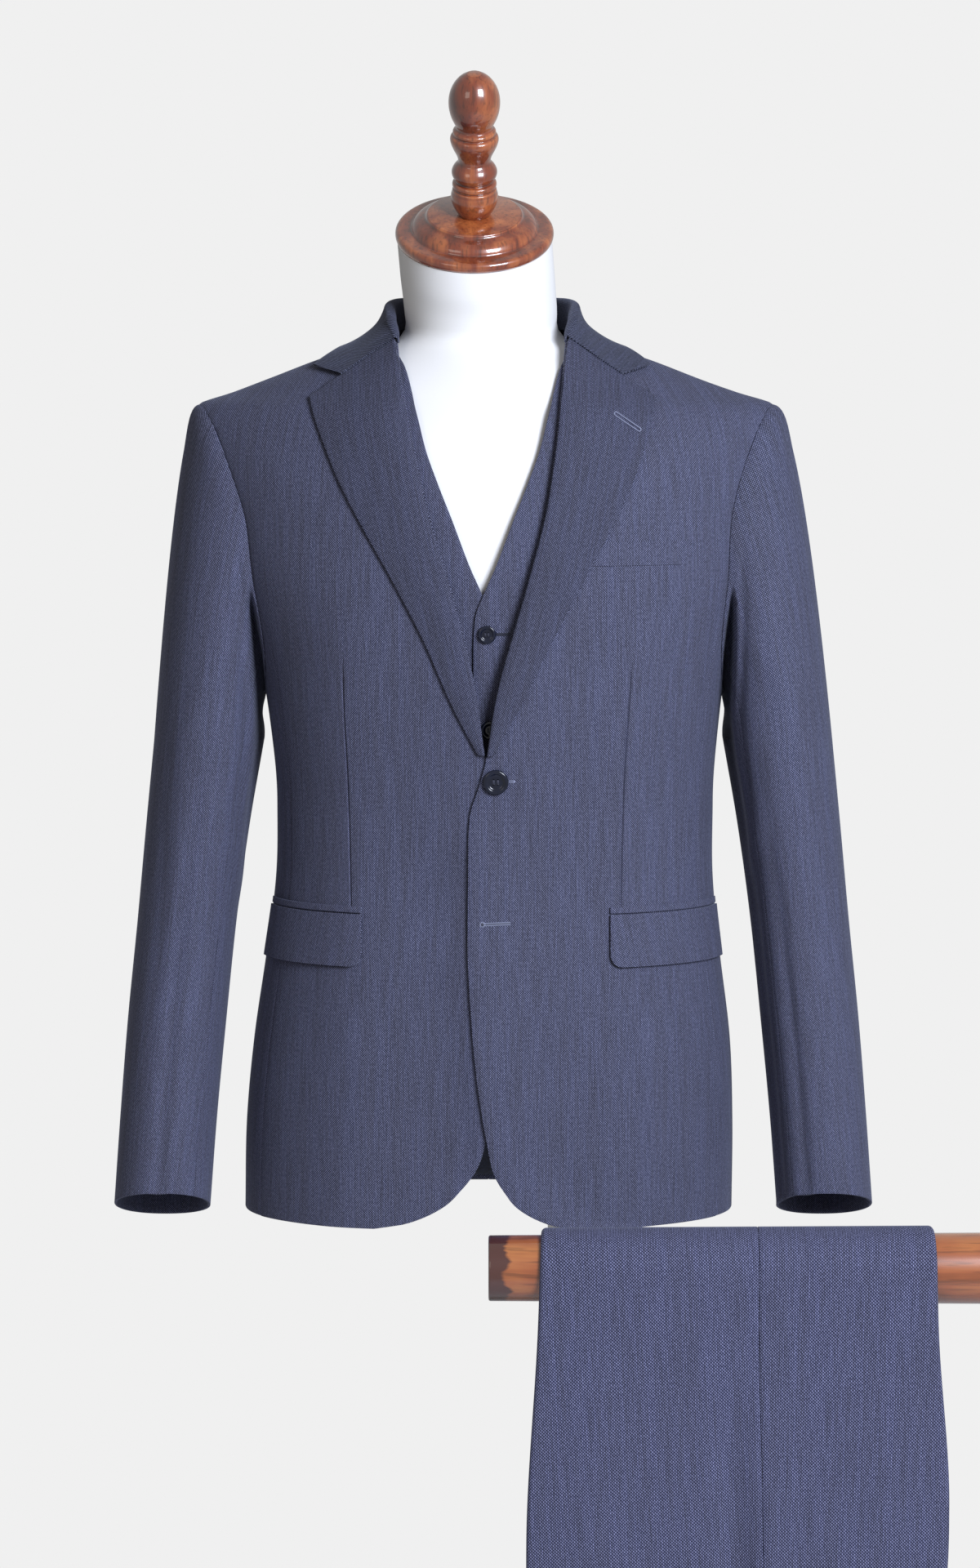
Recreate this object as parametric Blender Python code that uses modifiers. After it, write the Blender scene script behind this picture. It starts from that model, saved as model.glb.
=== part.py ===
"""Three-piece suit worn by a limbless dress form, with the trousers folded over a wooden rod.

Metres, +Z up. The front faces -Y, so +X is the wearer's left. The origin lies on the floor
under the middle of the form. Every piece of cloth is a thin wall, laid out on one figure
that is worked out from the section table FIGURE."""

import math

import bmesh
import bpy
from mathutils import Matrix, Vector

# Cloth walls, and the gaps left between pieces
JACKET_CLOTH = 0.0020
WAISTCOAT_CLOTH = 0.0015
TROUSER_CLOTH = 0.0016
LINING_CLOTH = 0.0010
SEAM_GAP = 0.0007
LAID_GAP = 0.0012
BUTTON_GAP = 0.0004
LINING_GAP = 0.0008
TOUCH_GAP = 0.0003
SLEEVE_SEAM_OUT = 0.0004

# Pocket jets and the breast welt are pressed thinner than the panels
POCKET_CLOTH = 0.0012

# Steps along a surface from which its normal is worked out
NORMAL_STEP = 0.004
TURN_STEP = 1.5
HEIGHT_STEP = 0.003

# The figure the jacket makes: level sections, from the hem up to the neck.
# half is half the width, front and back are depths from the side line, power is how square
# the section is (2 is an ellipse), and sway is how far its middle leans along X.
FIGURE = {
    "columns": ("height", "half", "front", "back", "power", "sway"),
    "rows": (
        (0.757, 0.2050, 0.134, 0.128, 2.30, -0.0040),
        (0.830, 0.2045, 0.132, 0.130, 2.30, -0.0030),
        (0.900, 0.2000, 0.129, 0.127, 2.30, -0.0010),
        (0.975, 0.1900, 0.123, 0.116, 2.30, 0.0000),
        (1.040, 0.1830, 0.117, 0.104, 2.30, 0.0010),
        (1.100, 0.1825, 0.118, 0.104, 2.30, 0.0015),
        (1.165, 0.1875, 0.125, 0.112, 2.30, 0.0010),
        (1.220, 0.1960, 0.131, 0.120, 2.20, 0.0000),
        (1.280, 0.2120, 0.133, 0.125, 2.20, -0.0020),
        (1.340, 0.2270, 0.127, 0.126, 2.00, -0.0040),
        (1.385, 0.2420, 0.118, 0.122, 1.80, -0.0055),
        (1.415, 0.2490, 0.110, 0.114, 1.55, -0.0055),
        (1.431, 0.2400, 0.105, 0.108, 1.40, -0.0060),
        (1.441, 0.2100, 0.101, 0.104, 1.35, -0.0070),
        (1.452, 0.1800, 0.096, 0.099, 1.35, -0.0080),
        (1.466, 0.1440, 0.090, 0.092, 1.40, -0.0080),
        (1.480, 0.1055, 0.083, 0.083, 1.60, -0.0090),
        (1.500, 0.0770, 0.075, 0.072, 2.00, -0.0100),
    ),
}

HEM_HEIGHT = FIGURE["rows"][0][0]
TOP_HEIGHT = FIGURE["rows"][-1][0]

# The dress form's own sections, inside the clothes. lean is the forward tilt in degrees.
FORM = {
    "columns": ("height", "half", "front", "back", "power", "sway", "forward", "lean"),
    "rows": (
        (0.8300, 0.178, 0.108, 0.104, 2.3, -0.003, 0.000, 0.0),
        (0.9000, 0.180, 0.112, 0.108, 2.3, -0.001, 0.000, 0.0),
        (0.9750, 0.174, 0.108, 0.100, 2.3, 0.000, 0.000, 0.0),
        (1.0400, 0.168, 0.104, 0.090, 2.3, 0.001, 0.000, 0.0),
        (1.1000, 0.165, 0.104, 0.089, 2.3, 0.001, 0.000, 0.0),
        (1.1650, 0.167, 0.111, 0.096, 2.3, 0.001, 0.000, 0.0),
        (1.2200, 0.176, 0.117, 0.104, 2.2, 0.000, 0.000, 0.0),
        (1.2800, 0.187, 0.120, 0.111, 2.2, -0.002, 0.000, 0.0),
        (1.3400, 0.196, 0.116, 0.112, 2.0, -0.004, 0.000, 0.0),
        (1.3850, 0.203, 0.108, 0.109, 1.8, -0.006, 0.000, 0.0),
        (1.4100, 0.208, 0.100, 0.102, 1.6, -0.006, 0.000, 0.0),
        (1.4250, 0.209, 0.095, 0.099, 1.4, -0.007, 0.000, 0.0),
        (1.4352, 0.203, 0.092, 0.095, 1.35, -0.007, 0.000, 0.0),
        (1.4465, 0.178, 0.088, 0.091, 1.35, -0.008, 0.000, 0.0),
        (1.4600, 0.138, 0.081, 0.081, 1.40, -0.008, 0.000, 0.0),
        (1.4740, 0.096, 0.072, 0.070, 1.6, -0.009, 0.000, 0.0),
        (1.4880, 0.067, 0.061, 0.055, 2.0, -0.0095, 0.001, 3.0),
        (1.5100, 0.0635, 0.060, 0.054, 2.0, -0.0105, 0.006, 10.0),
        (1.5380, 0.0640, 0.063, 0.061, 2.0, -0.0130, 0.015, 18.0),
    ),
}

# Middle line of the jacket's two fronts, which leans as the fronts lap
FRONT_MIDDLE = {
    "columns": ("height", "middle"),
    "rows": ((0.757, -0.013), (0.790, -0.009), (0.830, -0.006), (1.160, -0.006),
             (1.280, -0.004), (1.375, -0.006), (1.485, -0.010), (1.500, -0.010)),
}

# Edge of each jacket front, as its distance from that middle line: the round cutaway at the
# hem, the lap (below nought) past the button, then the roll line of the lapel.
FRONT_EDGE = {
    "columns": ("height", "away"),
    "rows": ((0.757, 0.0850), (0.762, 0.0587), (0.775, 0.0320), (0.790, 0.0176),
             (0.805, 0.0077), (0.824, 0.0020), (0.877, -0.0067), (0.933, -0.0120),
             (0.990, -0.0147), (1.050, -0.0143), (1.100, -0.0127), (1.122, -0.0060),
             (1.145, 0.0000), (1.200, 0.0085), (1.245, 0.0195), (1.293, 0.0330),
             (1.345, 0.0475), (1.400, 0.0580), (1.453, 0.0660), (1.485, 0.0700),
             (1.500, 0.0740)),
}
BREAK_HEIGHT = 1.150
GORGE_HEIGHT = 1.485
LAPEL_LIFT = 0.0035

# Outer edge of a lapel, from the notch at share 0 down to the break at share 1
LAPEL_EDGE = {
    "columns": ("share", "away", "height"),
    "rows": ((0.00, 0.1420, 1.4370), (0.15, 0.1353, 1.4130), (0.30, 0.1200, 1.3720),
             (0.45, 0.0990, 1.3300), (0.60, 0.0760, 1.2885), (0.75, 0.0515, 1.2420),
             (0.90, 0.0275, 1.1900), (1.00, 0.0065, 1.1500)),
}

# Collar from the centre back (share 0) to the end of the gorge (share 1): its fold line, the
# turn at which it meets the neck, its outer edge as a turn round the figure at a height, and
# the depth of its stand.
COLLAR = {
    "columns": ("share", "fold_x", "fold_y", "fold_z", "rest_turn", "edge_turn", "edge_z",
                "stand"),
    "rows": ((0.00, 0.0000, 0.0660, 1.5175, 90.0, 90.0, 1.4700, 0.0215),
             (0.30, 0.0505, 0.0510, 1.5175, 46.0, 60.0, 1.4715, 0.0215),
             (0.55, 0.0752, 0.0120, 1.5160, 9.0, 20.0, 1.4750, 0.0205),
             (0.78, 0.0755, -0.0260, 1.5055, -19.0, -6.0, 1.4740, 0.0120),
             (1.00, 0.0696, -0.0490, 1.4900, -38.0, -26.2, 1.4610, 0.0020)),
}
COLLAR_FOLD = 0.0070
COLLAR_REST = 1.4985
COLLAR_SETTLE = 10
GORGE_FROM = 0.80
GORGE_START = (0.0705, 1.4853)
NOTCH_SHARE = 0.64
NOTCH_CORNER = (0.1150, 1.4557)
LEAF_TIP = (0.1380, 1.4612)

# Armhole of the jacket: an oval cut in the side of the figure
ARMHOLE_LOW = 1.190
ARMHOLE_HIGH = 1.431
ARMHOLE_FRONT = 0.061
ARMHOLE_BACK = 0.066
ARMHOLE_GAP = 0.0012
SIDE_FRONT_TURN = 24.0
SIDE_BACK_TURN = 27.0

# Level sections of a sleeve, from under the arm to the cuff: its inner and outer sides
# along X, its front and back along Y, and how much the section rises towards the front
SLEEVE = {
    "columns": ("height", "inner", "outer", "front", "back", "rise"),
    "rows": ((0.767, 0.2360, 0.3158, -0.112, -0.008, 0.33),
             (0.840, 0.2308, 0.3113, -0.100, 0.015, 0.20),
             (0.920, 0.2233, 0.3055, -0.088, 0.035, 0.08),
             (1.003, 0.2148, 0.2976, -0.078, 0.052, 0.00),
             (1.080, 0.2045, 0.2907, -0.074, 0.066, 0.00),
             (1.150, 0.1925, 0.2840, -0.072, 0.075, 0.00)),
}
SLEEVE_POWER = 2.2
HEAD_CURVE = 0.55
ROPE_RISE = 0.005
ROPE_END = 0.12
SLEEVE_ROUND = 0.33
FRONT_SLEEVE_SEAM = 0.13
BACK_SLEEVE_SEAM = 0.80

# Pockets and buttons, as shown on the front
FLAP_INNER = 0.1005
FLAP_TURN_END = -9.0
FLAP_TOP = 1.0150
FLAP_DROP = 0.0430
FLAP_CORNER = 0.0100
FLAP_ROUND_FROM = 0.75
FLAP_LIFT = 0.0006
JET_HEIGHT = 0.0055
JET_ABOVE_FLAP = 0.0010
WELT_LOW = 1.3030
WELT_HIGH = 1.3225
WELT_INNER = (0.0800, 0.0955)
WELT_OUTER = (0.1550, 0.1635)
JACKET_BUTTON = {"x": 0.002, "z": 1.128, "radius": 0.0105, "height": 0.0040}
WAISTCOAT_BUTTON = {"radius": 0.0075, "height": 0.0030}
WAISTCOAT_BUTTON_PLACES = ((-0.0053, 1.2475), (-0.0030, 1.1680))
FRONT_LAP = 0.0030
LAP_BLEND = (0.030, 0.100)
EASE = {"height": 1.130, "depth": 0.0045, "tall": 0.090, "wide": 0.060}

# Waistcoat: neckline away from its middle, and armhole as a turn round the figure
WAISTCOAT_MIDDLE = -0.0087
WAISTCOAT_UNDER_JACKET = 0.0031
WAISTCOAT_LAP = 0.0026
WAISTCOAT_WAIST = 0.0040
WAISTCOAT_NECK = {
    "columns": ("height", "away"),
    "rows": ((0.940, -0.0080), (1.200, -0.0080), (1.260, -0.0065), (1.280, 0.0005),
             (1.304, 0.0110), (1.340, 0.0248), (1.367, 0.0356), (1.397, 0.0467),
             (1.4285, 0.0550), (1.468, 0.0665), (1.486, 0.0800)),
}
WAISTCOAT_ARMHOLE = {
    "columns": ("height", "turn"),
    "rows": ((0.940, 0.0), (1.150, 0.0), (1.170, 18.0), (1.200, 35.0), (1.250, 45.0),
             (1.300, 48.0), (1.360, 50.0), (1.420, 46.0), (1.450, 28.0), (1.464, 3.0),
             (1.470, 0.0), (1.486, 0.0)),
}

# Trousers over the rod: side edges and side seam by distance run from the top of the rod,
# which is above nought down the front fall and below nought down the back fall
TROUSERS = {
    "columns": ("run", "left", "seam", "right"),
    "rows": ((-0.550, 0.0850, 0.1960, 0.2980), (-0.300, 0.0640, 0.2020, 0.3220),
             (-0.100, 0.0440, 0.2090, 0.3450), (0.000, 0.0380, 0.2107, 0.3510),
             (0.100, 0.0345, 0.2107, 0.3540), (0.235, 0.0265, 0.2140, 0.3630),
             (0.330, 0.0260, 0.2150, 0.3560), (0.430, 0.0450, 0.2130, 0.3200),
             (0.500, 0.0620, 0.2110, 0.3020)),
}
TROUSER_INNER = 0.0030
DRAPE_GAP = 0.0006
INNER_NARROW = 0.0030
INNER_SHORT = 0.0080
WAISTBAND_DROP = 0.0380
WAISTBAND_CLOTH = 0.0050

# Round neck of the form where it meets the cap
NECK_RADIUS = 0.0640
FORM_SIDES = 28

# Neck cap and finial: turned wood, as (height along the axis, radius), top to bottom
CAP_MIDDLE = (-0.0155, -0.030, 1.5775)
CAP_LEAN = 27.0
CAP_PROFILE = ((0.0130, 0.0000), (0.0130, 0.0395), (0.0100, 0.0405), (0.0085, 0.0440),
               (0.0060, 0.0490), (0.0030, 0.0520), (0.0000, 0.0525), (-0.0005, 0.0635),
               (-0.0025, 0.0655), (-0.0070, 0.0655), (-0.0092, 0.0640), (-0.0092, 0.0000))
FINIAL_PROFILE = ((0.1274, 0.0000), (0.1261, 0.0080), (0.1212, 0.0142), (0.1115, 0.0198),
                  (0.1018, 0.0213), (0.0902, 0.0195), (0.0805, 0.0150), (0.0771, 0.0178),
                  (0.0732, 0.0178), (0.0723, 0.0190), (0.0686, 0.0199), (0.0621, 0.0185),
                  (0.0543, 0.0145), (0.0485, 0.0134), (0.0441, 0.0170), (0.0388, 0.0188),
                  (0.0340, 0.0175), (0.0312, 0.0150), (0.0291, 0.0183), (0.0262, 0.0183),
                  (0.0250, 0.0165), (0.0238, 0.0183), (0.0213, 0.0183), (0.0172, 0.0195),
                  (0.0087, 0.0180), (0.0003, 0.0130), (0.0003, 0.0000))

# Stand and rod
POLE_PLACE = (0.060, 0.0)
POLE_RADIUS = 0.014
BASE_RADIUS = 0.210
BASE_HEIGHT = 0.014
ROD_PLACE = (-0.280, 0.752)
ROD_ENDS = (-0.004, 0.475)
ROD_RADII = (0.0262, 0.0288)
POST_X = 0.440
ARM_HEIGHT = 0.420
POST_RADIUS = 0.010
ARM_RADIUS = 0.008

COLOURS = {
    "suiting": ((0.085, 0.098, 0.150), 0.85, 0.0),
    "collar_suiting": ((0.075, 0.082, 0.110), 0.85, 0.0),
    "lining": ((0.015, 0.026, 0.065), 0.45, 0.0),
    "button": ((0.010, 0.014, 0.028), 0.20, 0.0),
    "lacquered_wood": ((0.200, 0.045, 0.012), 0.22, 0.0),
    "form_cover": ((0.900, 0.880, 0.850), 0.80, 0.0),
    "painted_steel": ((0.860, 0.860, 0.850), 0.40, 0.3),
}


def blend_along(table, name, at):
    """Value of a column at a place in the table's first column, on a smooth curve."""
    index = table["columns"].index(name)
    rows = table["rows"]
    places = [row[0] for row in rows]
    values = [row[index] for row in rows]
    if at <= places[0]:
        return values[0]
    if at >= places[-1]:
        return values[-1]
    last = max(i for i in range(len(rows) - 1) if places[i] <= at)

    def slope(i):
        before, after = max(i - 1, 0), min(i + 1, len(rows) - 1)
        rise = (values[after] - values[before]) / (places[after] - places[before])
        if before < i < after:
            if (values[i] - values[before]) * (values[after] - values[i]) <= 0:
                return 0.0
        return rise

    step = places[last + 1] - places[last]
    t = (at - places[last]) / step
    start, end = values[last], values[last + 1]
    into, out = slope(last) * step, slope(last + 1) * step
    cube, square = t ** 3, t ** 2
    return (start * (2 * cube - 3 * square + 1) + into * (cube - 2 * square + t)
            + end * (3 * square - 2 * cube) + out * (cube - square))


def ramp(low, high, at):
    """0 below low, 1 above high, smooth between."""
    t = min(max((at - low) / (high - low), 0.0), 1.0)
    return t * t * (3 - 2 * t)


def mix(a, b, t):
    return a + (b - a) * t


def on_section(table, height, turn, side):
    """Point of a level section; turn is -90 at the front, 0 at the side, 90 at the back."""
    power = blend_along(table, "power", height)
    c, s = math.cos(math.radians(turn)), math.sin(math.radians(turn))
    depth = blend_along(table, "back" if s > 0 else "front", height)
    x = blend_along(table, "half", height) * math.copysign(abs(c) ** (2 / power), c)
    y = depth * math.copysign(abs(s) ** (2 / power), s)
    return Vector((side * x + blend_along(table, "sway", height), y, height))


def figure(height, turn, side, out=0.0):
    """Point on the jacket's outer surface, moved out along its normal."""
    point = on_section(FIGURE, height, turn, side)
    if not out:
        return point
    around = on_section(FIGURE, height, turn + TURN_STEP, side) - on_section(
        FIGURE, height, turn - TURN_STEP, side)
    above, below = height + HEIGHT_STEP, height - HEIGHT_STEP
    up = on_section(FIGURE, min(above, TOP_HEIGHT), turn, side) - on_section(
        FIGURE, max(below, HEM_HEIGHT), turn, side)
    normal = around.cross(up).normalized() * side
    return point + normal * out


def turn_at(height, x, side):
    """Turn of the front surface at a place X."""
    power = blend_along(FIGURE, "power", height)
    local = side * (x - blend_along(FIGURE, "sway", height))
    c = min(max(local / blend_along(FIGURE, "half", height), -1.0), 1.0)
    return -math.degrees(math.acos(math.copysign(abs(c) ** (power / 2), c)))


def front_ease(x, height):
    """How far both jacket fronts stand off the waistcoat round the closing button."""
    tall = (height - EASE["height"]) / EASE["tall"]
    wide = (x - blend_along(FRONT_MIDDLE, "middle", height)) / EASE["wide"]
    return EASE["depth"] * math.exp(-tall ** 2 - wide ** 2)


def jacket_front_out(x, height, side):
    """The wearer's left front laps over the right one near the middle."""
    near = abs(x - blend_along(FRONT_MIDDLE, "middle", height))
    lap = FRONT_LAP * (1 - ramp(*LAP_BLEND, near)) if side > 0 else 0.0
    return lap + front_ease(x, height)


def on_front(x, height, side, out=0.0):
    """Point on a jacket front at a place X and a height, moved out."""
    turn = turn_at(height, x, side)
    return figure(height, turn, side, out + jacket_front_out(x, height, side))


def front_x(height, away, side):
    return blend_along(FRONT_MIDDLE, "middle", height) + side * away


def past_seam(height, turn, towards):
    """Turn that lies half a seam gap from a seam, towards another turn."""
    start = on_section(FIGURE, height, turn, 1)
    near, far = 0.0, 8.0
    for _ in range(24):
        middle = (near + far) / 2
        step = math.copysign(middle, towards - turn)
        if (on_section(FIGURE, height, turn + step, 1) - start).length < SEAM_GAP / 2:
            near = middle
        else:
            far = middle
    return turn + math.copysign(far, towards - turn)


def armhole_reach(height, reach):
    middle = (ARMHOLE_LOW + ARMHOLE_HIGH) / 2
    half = (ARMHOLE_HIGH - ARMHOLE_LOW) / 2
    return reach * math.sqrt(max(1 - ((height - middle) / half) ** 2, 0.0))


def armhole_turn(height, reach, depth_name):
    """Turn, away from the side line, at which the armhole cuts a section."""
    share = armhole_reach(height, reach) / blend_along(FIGURE, depth_name, height)
    return math.degrees(math.asin(share ** (blend_along(FIGURE, "power", height) / 2)))


def outer_turn(height, reach, depth_name, side_seam):
    """Turn of the outer boundary of a front or back: side seam, armhole, then ridge."""
    if height >= ARMHOLE_HIGH:
        return 0.0
    if height <= ARMHOLE_LOW:
        return side_seam
    cut = armhole_turn(height, reach, depth_name)
    return max(cut, side_seam) if height < (ARMHOLE_LOW + ARMHOLE_HIGH) / 2 else cut


def spread(low, high, count):
    return [low + (high - low) * i / count for i in range(count + 1)]


def material(name):
    colour, roughness, metallic = COLOURS[name]
    made = bpy.data.materials.get(name)
    if made is None:
        made = bpy.data.materials.new(name)
        made.use_nodes = True
        shader = made.node_tree.nodes["Principled BSDF"]
        shader.inputs["Base Color"].default_value = (*colour, 1.0)
        shader.inputs["Roughness"].default_value = roughness
        shader.inputs["Metallic"].default_value = metallic
    return made


def add_object(name, mesh, finish):
    made = bpy.data.objects.new(name, mesh)
    mesh.materials.append(material(finish).copy())
    parts.objects.link(made)
    mesh.shade_smooth()
    return made


def cloth(name, across, along, place, wall, finish, flip=False):
    """Open sheet of points place(u, v), thickened inwards by Solidify."""
    shape = bmesh.new()
    grid = [[shape.verts.new(place(u, v)) for u in across] for v in along]
    for row, above in zip(grid, grid[1:]):
        for i in range(len(across) - 1):
            corners = (row[i], row[i + 1], above[i + 1], above[i])
            shape.faces.new(corners[::-1] if flip else corners)
    mesh = bpy.data.meshes.new(name)
    shape.to_mesh(mesh)
    shape.free()
    sheet = add_object(name, mesh, finish)
    thicken = sheet.modifiers.new("Wall", "SOLIDIFY")
    thicken.thickness = wall
    thicken.offset = -1
    thicken.use_even_offset = False
    return sheet


def panel(name, across, along, place, wall, finish, flip=False):
    """Sheet with a wall along its true normals, so that seams stay parallel to their
    neighbours' seams through the whole wall."""
    def normal(u, v):
        wide = (place(across[-1], v) - place(across[0], v)).length / (across[-1] - across[0])
        tall = (place(u, along[-1]) - place(u, along[0])).length / (along[-1] - along[0])
        du, dv = NORMAL_STEP / max(wide, 0.03), NORMAL_STEP / tall
        turned_by = (place(u + du, v) - place(u - du, v)).cross(
            place(u, v + dv) - place(u, v - dv))
        return turned_by.normalized() * (-1 if flip else 1)

    shape = bmesh.new()
    outer = [[shape.verts.new(place(u, v)) for u in across] for v in along]
    inner = [[shape.verts.new(outer[j][i].co - normal(u, v) * wall)
              for i, u in enumerate(across)] for j, v in enumerate(along)]
    for row, above, row_in, above_in in zip(outer, outer[1:], inner, inner[1:]):
        for i in range(len(across) - 1):
            shape.faces.new((row[i], row[i + 1], above[i + 1], above[i]))
            shape.faces.new((row_in[i], above_in[i], above_in[i + 1], row_in[i + 1]))
    rim = ([(outer[0][i], inner[0][i]) for i in range(len(across))]
           + [(outer[j][-1], inner[j][-1]) for j in range(1, len(along))]
           + [(outer[-1][i], inner[-1][i]) for i in range(len(across) - 2, -1, -1)]
           + [(outer[j][0], inner[j][0]) for j in range(len(along) - 2, 0, -1)])
    for (a, a_in), (b, b_in) in zip(rim, rim[1:] + rim[:1]):
        shape.faces.new((a, a_in, b_in, b))
    bmesh.ops.recalc_face_normals(shape, faces=shape.faces)
    mesh = bpy.data.meshes.new(name)
    shape.to_mesh(mesh)
    shape.free()
    made = add_object(name, mesh, finish)
    mesh.set_sharp_from_angle(angle=math.radians(50))
    return made


def loft(name, rings, finish):
    """Closed solid through level rings, with a flat face at each end."""
    shape = bmesh.new()
    loops = [[shape.verts.new(point) for point in ring] for ring in rings]
    count = len(loops[0])
    for low, high in zip(loops, loops[1:]):
        for i in range(count):
            j = (i + 1) % count
            shape.faces.new((low[i], low[j], high[j], high[i]))
    shape.faces.new(loops[0][::-1])
    shape.faces.new(loops[-1])
    bmesh.ops.recalc_face_normals(shape, faces=shape.faces)
    mesh = bpy.data.meshes.new(name)
    shape.to_mesh(mesh)
    shape.free()
    made = add_object(name, mesh, finish)
    mesh.set_sharp_from_angle(angle=math.radians(50))
    return made


def turned(name, profile, steps, finish):
    """Turned piece: its profile at +X, top to bottom, run round by a Screw modifier."""
    mesh = bpy.data.meshes.new(name)
    points = [(radius, 0.0, height) for height, radius in profile]
    mesh.from_pydata(points, [(i, i + 1) for i in range(len(points) - 1)], [])
    made = add_object(name, mesh, finish)
    screw = made.modifiers.new("Turn", "SCREW")
    screw.steps = screw.render_steps = steps
    screw.use_merge_vertices = True
    screw.merge_threshold = 0.0001
    return made


def round_bar(name, start, end, radii, sides, finish, bevel=0.0):
    """Straight round bar from start to end."""
    start, end = Vector(start), Vector(end)
    shape = bmesh.new()
    bmesh.ops.create_cone(shape, cap_ends=True, segments=sides, radius1=radii[0],
                          radius2=radii[1], depth=(end - start).length)
    mesh = bpy.data.meshes.new(name)
    shape.to_mesh(mesh)
    shape.free()
    bar = add_object(name, mesh, finish)
    bar.location = (start + end) / 2
    bar.rotation_mode = "QUATERNION"
    bar.rotation_quaternion = (end - start).to_track_quat("Z", "Y")
    if bevel:
        edge = bar.modifiers.new("Worn end", "BEVEL")
        edge.width = bevel
        edge.segments = 2
        edge.limit_method = "ANGLE"
    return bar


def side_name(side):
    return "left" if side > 0 else "right"


# Start from an empty scene
for left_over in list(bpy.data.objects):
    bpy.data.objects.remove(left_over)
parts = bpy.data.collections.new("three_piece_suit_on_form")
bpy.context.scene.collection.children.link(parts)


# Dress form: one smooth closed body whose neck leans forward to carry the cap
form_heights = [row[0] for row in FORM["rows"]]


def form_ring(height):
    lean = math.radians(blend_along(FORM, "lean", height))
    forward = blend_along(FORM, "forward", height)
    ring = []
    for i in range(FORM_SIDES):
        point = on_section(FORM, height, 360 * i / FORM_SIDES - 180, 1)
        ring.append((point.x, point.y * math.cos(lean) - forward,
                     height + point.y * math.sin(lean)))
    return ring


form_rings = [form_ring(height) for height in form_heights]
cap_tilt = Matrix.Rotation(math.radians(CAP_LEAN), 3, "X")
cap_underside = Vector(CAP_MIDDLE) + cap_tilt @ Vector((0, 0, CAP_PROFILE[-1][0] - TOUCH_GAP))
form_turns = [math.radians(360 * i / FORM_SIDES - 180) for i in range(FORM_SIDES)]
form_rings.append([cap_underside + cap_tilt @ Vector(
    (NECK_RADIUS * math.cos(turn), NECK_RADIUS * math.sin(turn), 0)) for turn in form_turns])
loft("form_body", form_rings, "form_cover")

for turned_name, turned_profile, turned_steps, lift in (
        ("neck_cap", CAP_PROFILE, 26, 0.0),
        ("cap_finial", FINIAL_PROFILE, 18, CAP_PROFILE[0][0])):
    wooden = turned(turned_name, turned_profile, turned_steps, "lacquered_wood")
    wooden.location = Vector(CAP_MIDDLE) + cap_tilt @ Vector((0, 0, lift))
    wooden.rotation_euler = (math.radians(CAP_LEAN), 0, 0)

# Stand: round base, pole up to the form, arm and post out to the trouser rod
round_bar("stand_base", (*POLE_PLACE, 0), (*POLE_PLACE, BASE_HEIGHT),
          (BASE_RADIUS, BASE_RADIUS), 48, "painted_steel", bevel=0.003)
round_bar("stand_pole", (*POLE_PLACE, BASE_HEIGHT + TOUCH_GAP),
          (*POLE_PLACE, form_heights[0] - TOUCH_GAP), (POLE_RADIUS, POLE_RADIUS), 20,
          "painted_steel")
rod_y, rod_z = ROD_PLACE
post_top = rod_z - ROD_RADII[1] - TOUCH_GAP
round_bar("rod_post", (POST_X, rod_y, ARM_HEIGHT - POST_RADIUS), (POST_X, rod_y, post_top),
          (POST_RADIUS, POST_RADIUS), 16, "painted_steel")
arm_run = Vector((POST_X, rod_y, ARM_HEIGHT)) - Vector((*POLE_PLACE, ARM_HEIGHT))
arm_unit = arm_run.normalized()
round_bar("rod_arm", Vector((*POLE_PLACE, ARM_HEIGHT)) + arm_unit * (POLE_RADIUS + TOUCH_GAP),
          Vector((POST_X, rod_y, ARM_HEIGHT)) - arm_unit * (POST_RADIUS + TOUCH_GAP),
          (ARM_RADIUS, ARM_RADIUS), 16, "painted_steel")
round_bar("trouser_rod", (ROD_ENDS[0], rod_y, rod_z), (ROD_ENDS[1], rod_y, rod_z), ROD_RADII,
          24, "lacquered_wood", bevel=0.002)


# Waistcoat, just inside the jacket
def waistcoat_in(height):
    """How far the waistcoat lies inside the jacket; it follows the waist more closely."""
    return WAISTCOAT_UNDER_JACKET + WAISTCOAT_WAIST * (1 - ramp(1.180, 1.330, height))


def waistcoat_out(x, height, side):
    near = abs(x - WAISTCOAT_MIDDLE)
    lap = WAISTCOAT_LAP * (1 - ramp(*LAP_BLEND, near)) if side < 0 else 0.0
    return -waistcoat_in(height) - lap


def waistcoat_front_point(side):
    def place(share, height):
        inner = turn_at(height, WAISTCOAT_MIDDLE + side * blend_along(
            WAISTCOAT_NECK, "away", height), side)
        outer = past_seam(height, -blend_along(WAISTCOAT_ARMHOLE, "turn", height), -90)
        turn = mix(inner, outer, share)
        x = on_section(FIGURE, height, turn, side).x
        return figure(height, turn, side, waistcoat_out(x, height, side))
    return place


WAISTCOAT_HEIGHTS = [0.940, 0.990, 1.040, 1.100, 1.160, 1.200, 1.240, 1.280, 1.310, 1.340,
                     1.370, 1.400, 1.425, 1.443, 1.456, 1.468, 1.486]
for side in (1, -1):
    panel("waistcoat_front_" + side_name(side), spread(0, 1, 8), WAISTCOAT_HEIGHTS,
          waistcoat_front_point(side), WAISTCOAT_CLOTH, "suiting", flip=side < 0)


def waistcoat_back_point(share, height):
    reach = 90 - past_seam(height, blend_along(WAISTCOAT_ARMHOLE, "turn", height), 90)
    offset = mix(-reach, reach, share)
    side = 1 if offset >= 0 else -1
    return figure(height, 90 - abs(offset), side, -waistcoat_in(height))


panel("waistcoat_back", spread(0, 1, 12), WAISTCOAT_HEIGHTS, waistcoat_back_point,
      WAISTCOAT_CLOTH, "suiting", flip=True)


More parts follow.
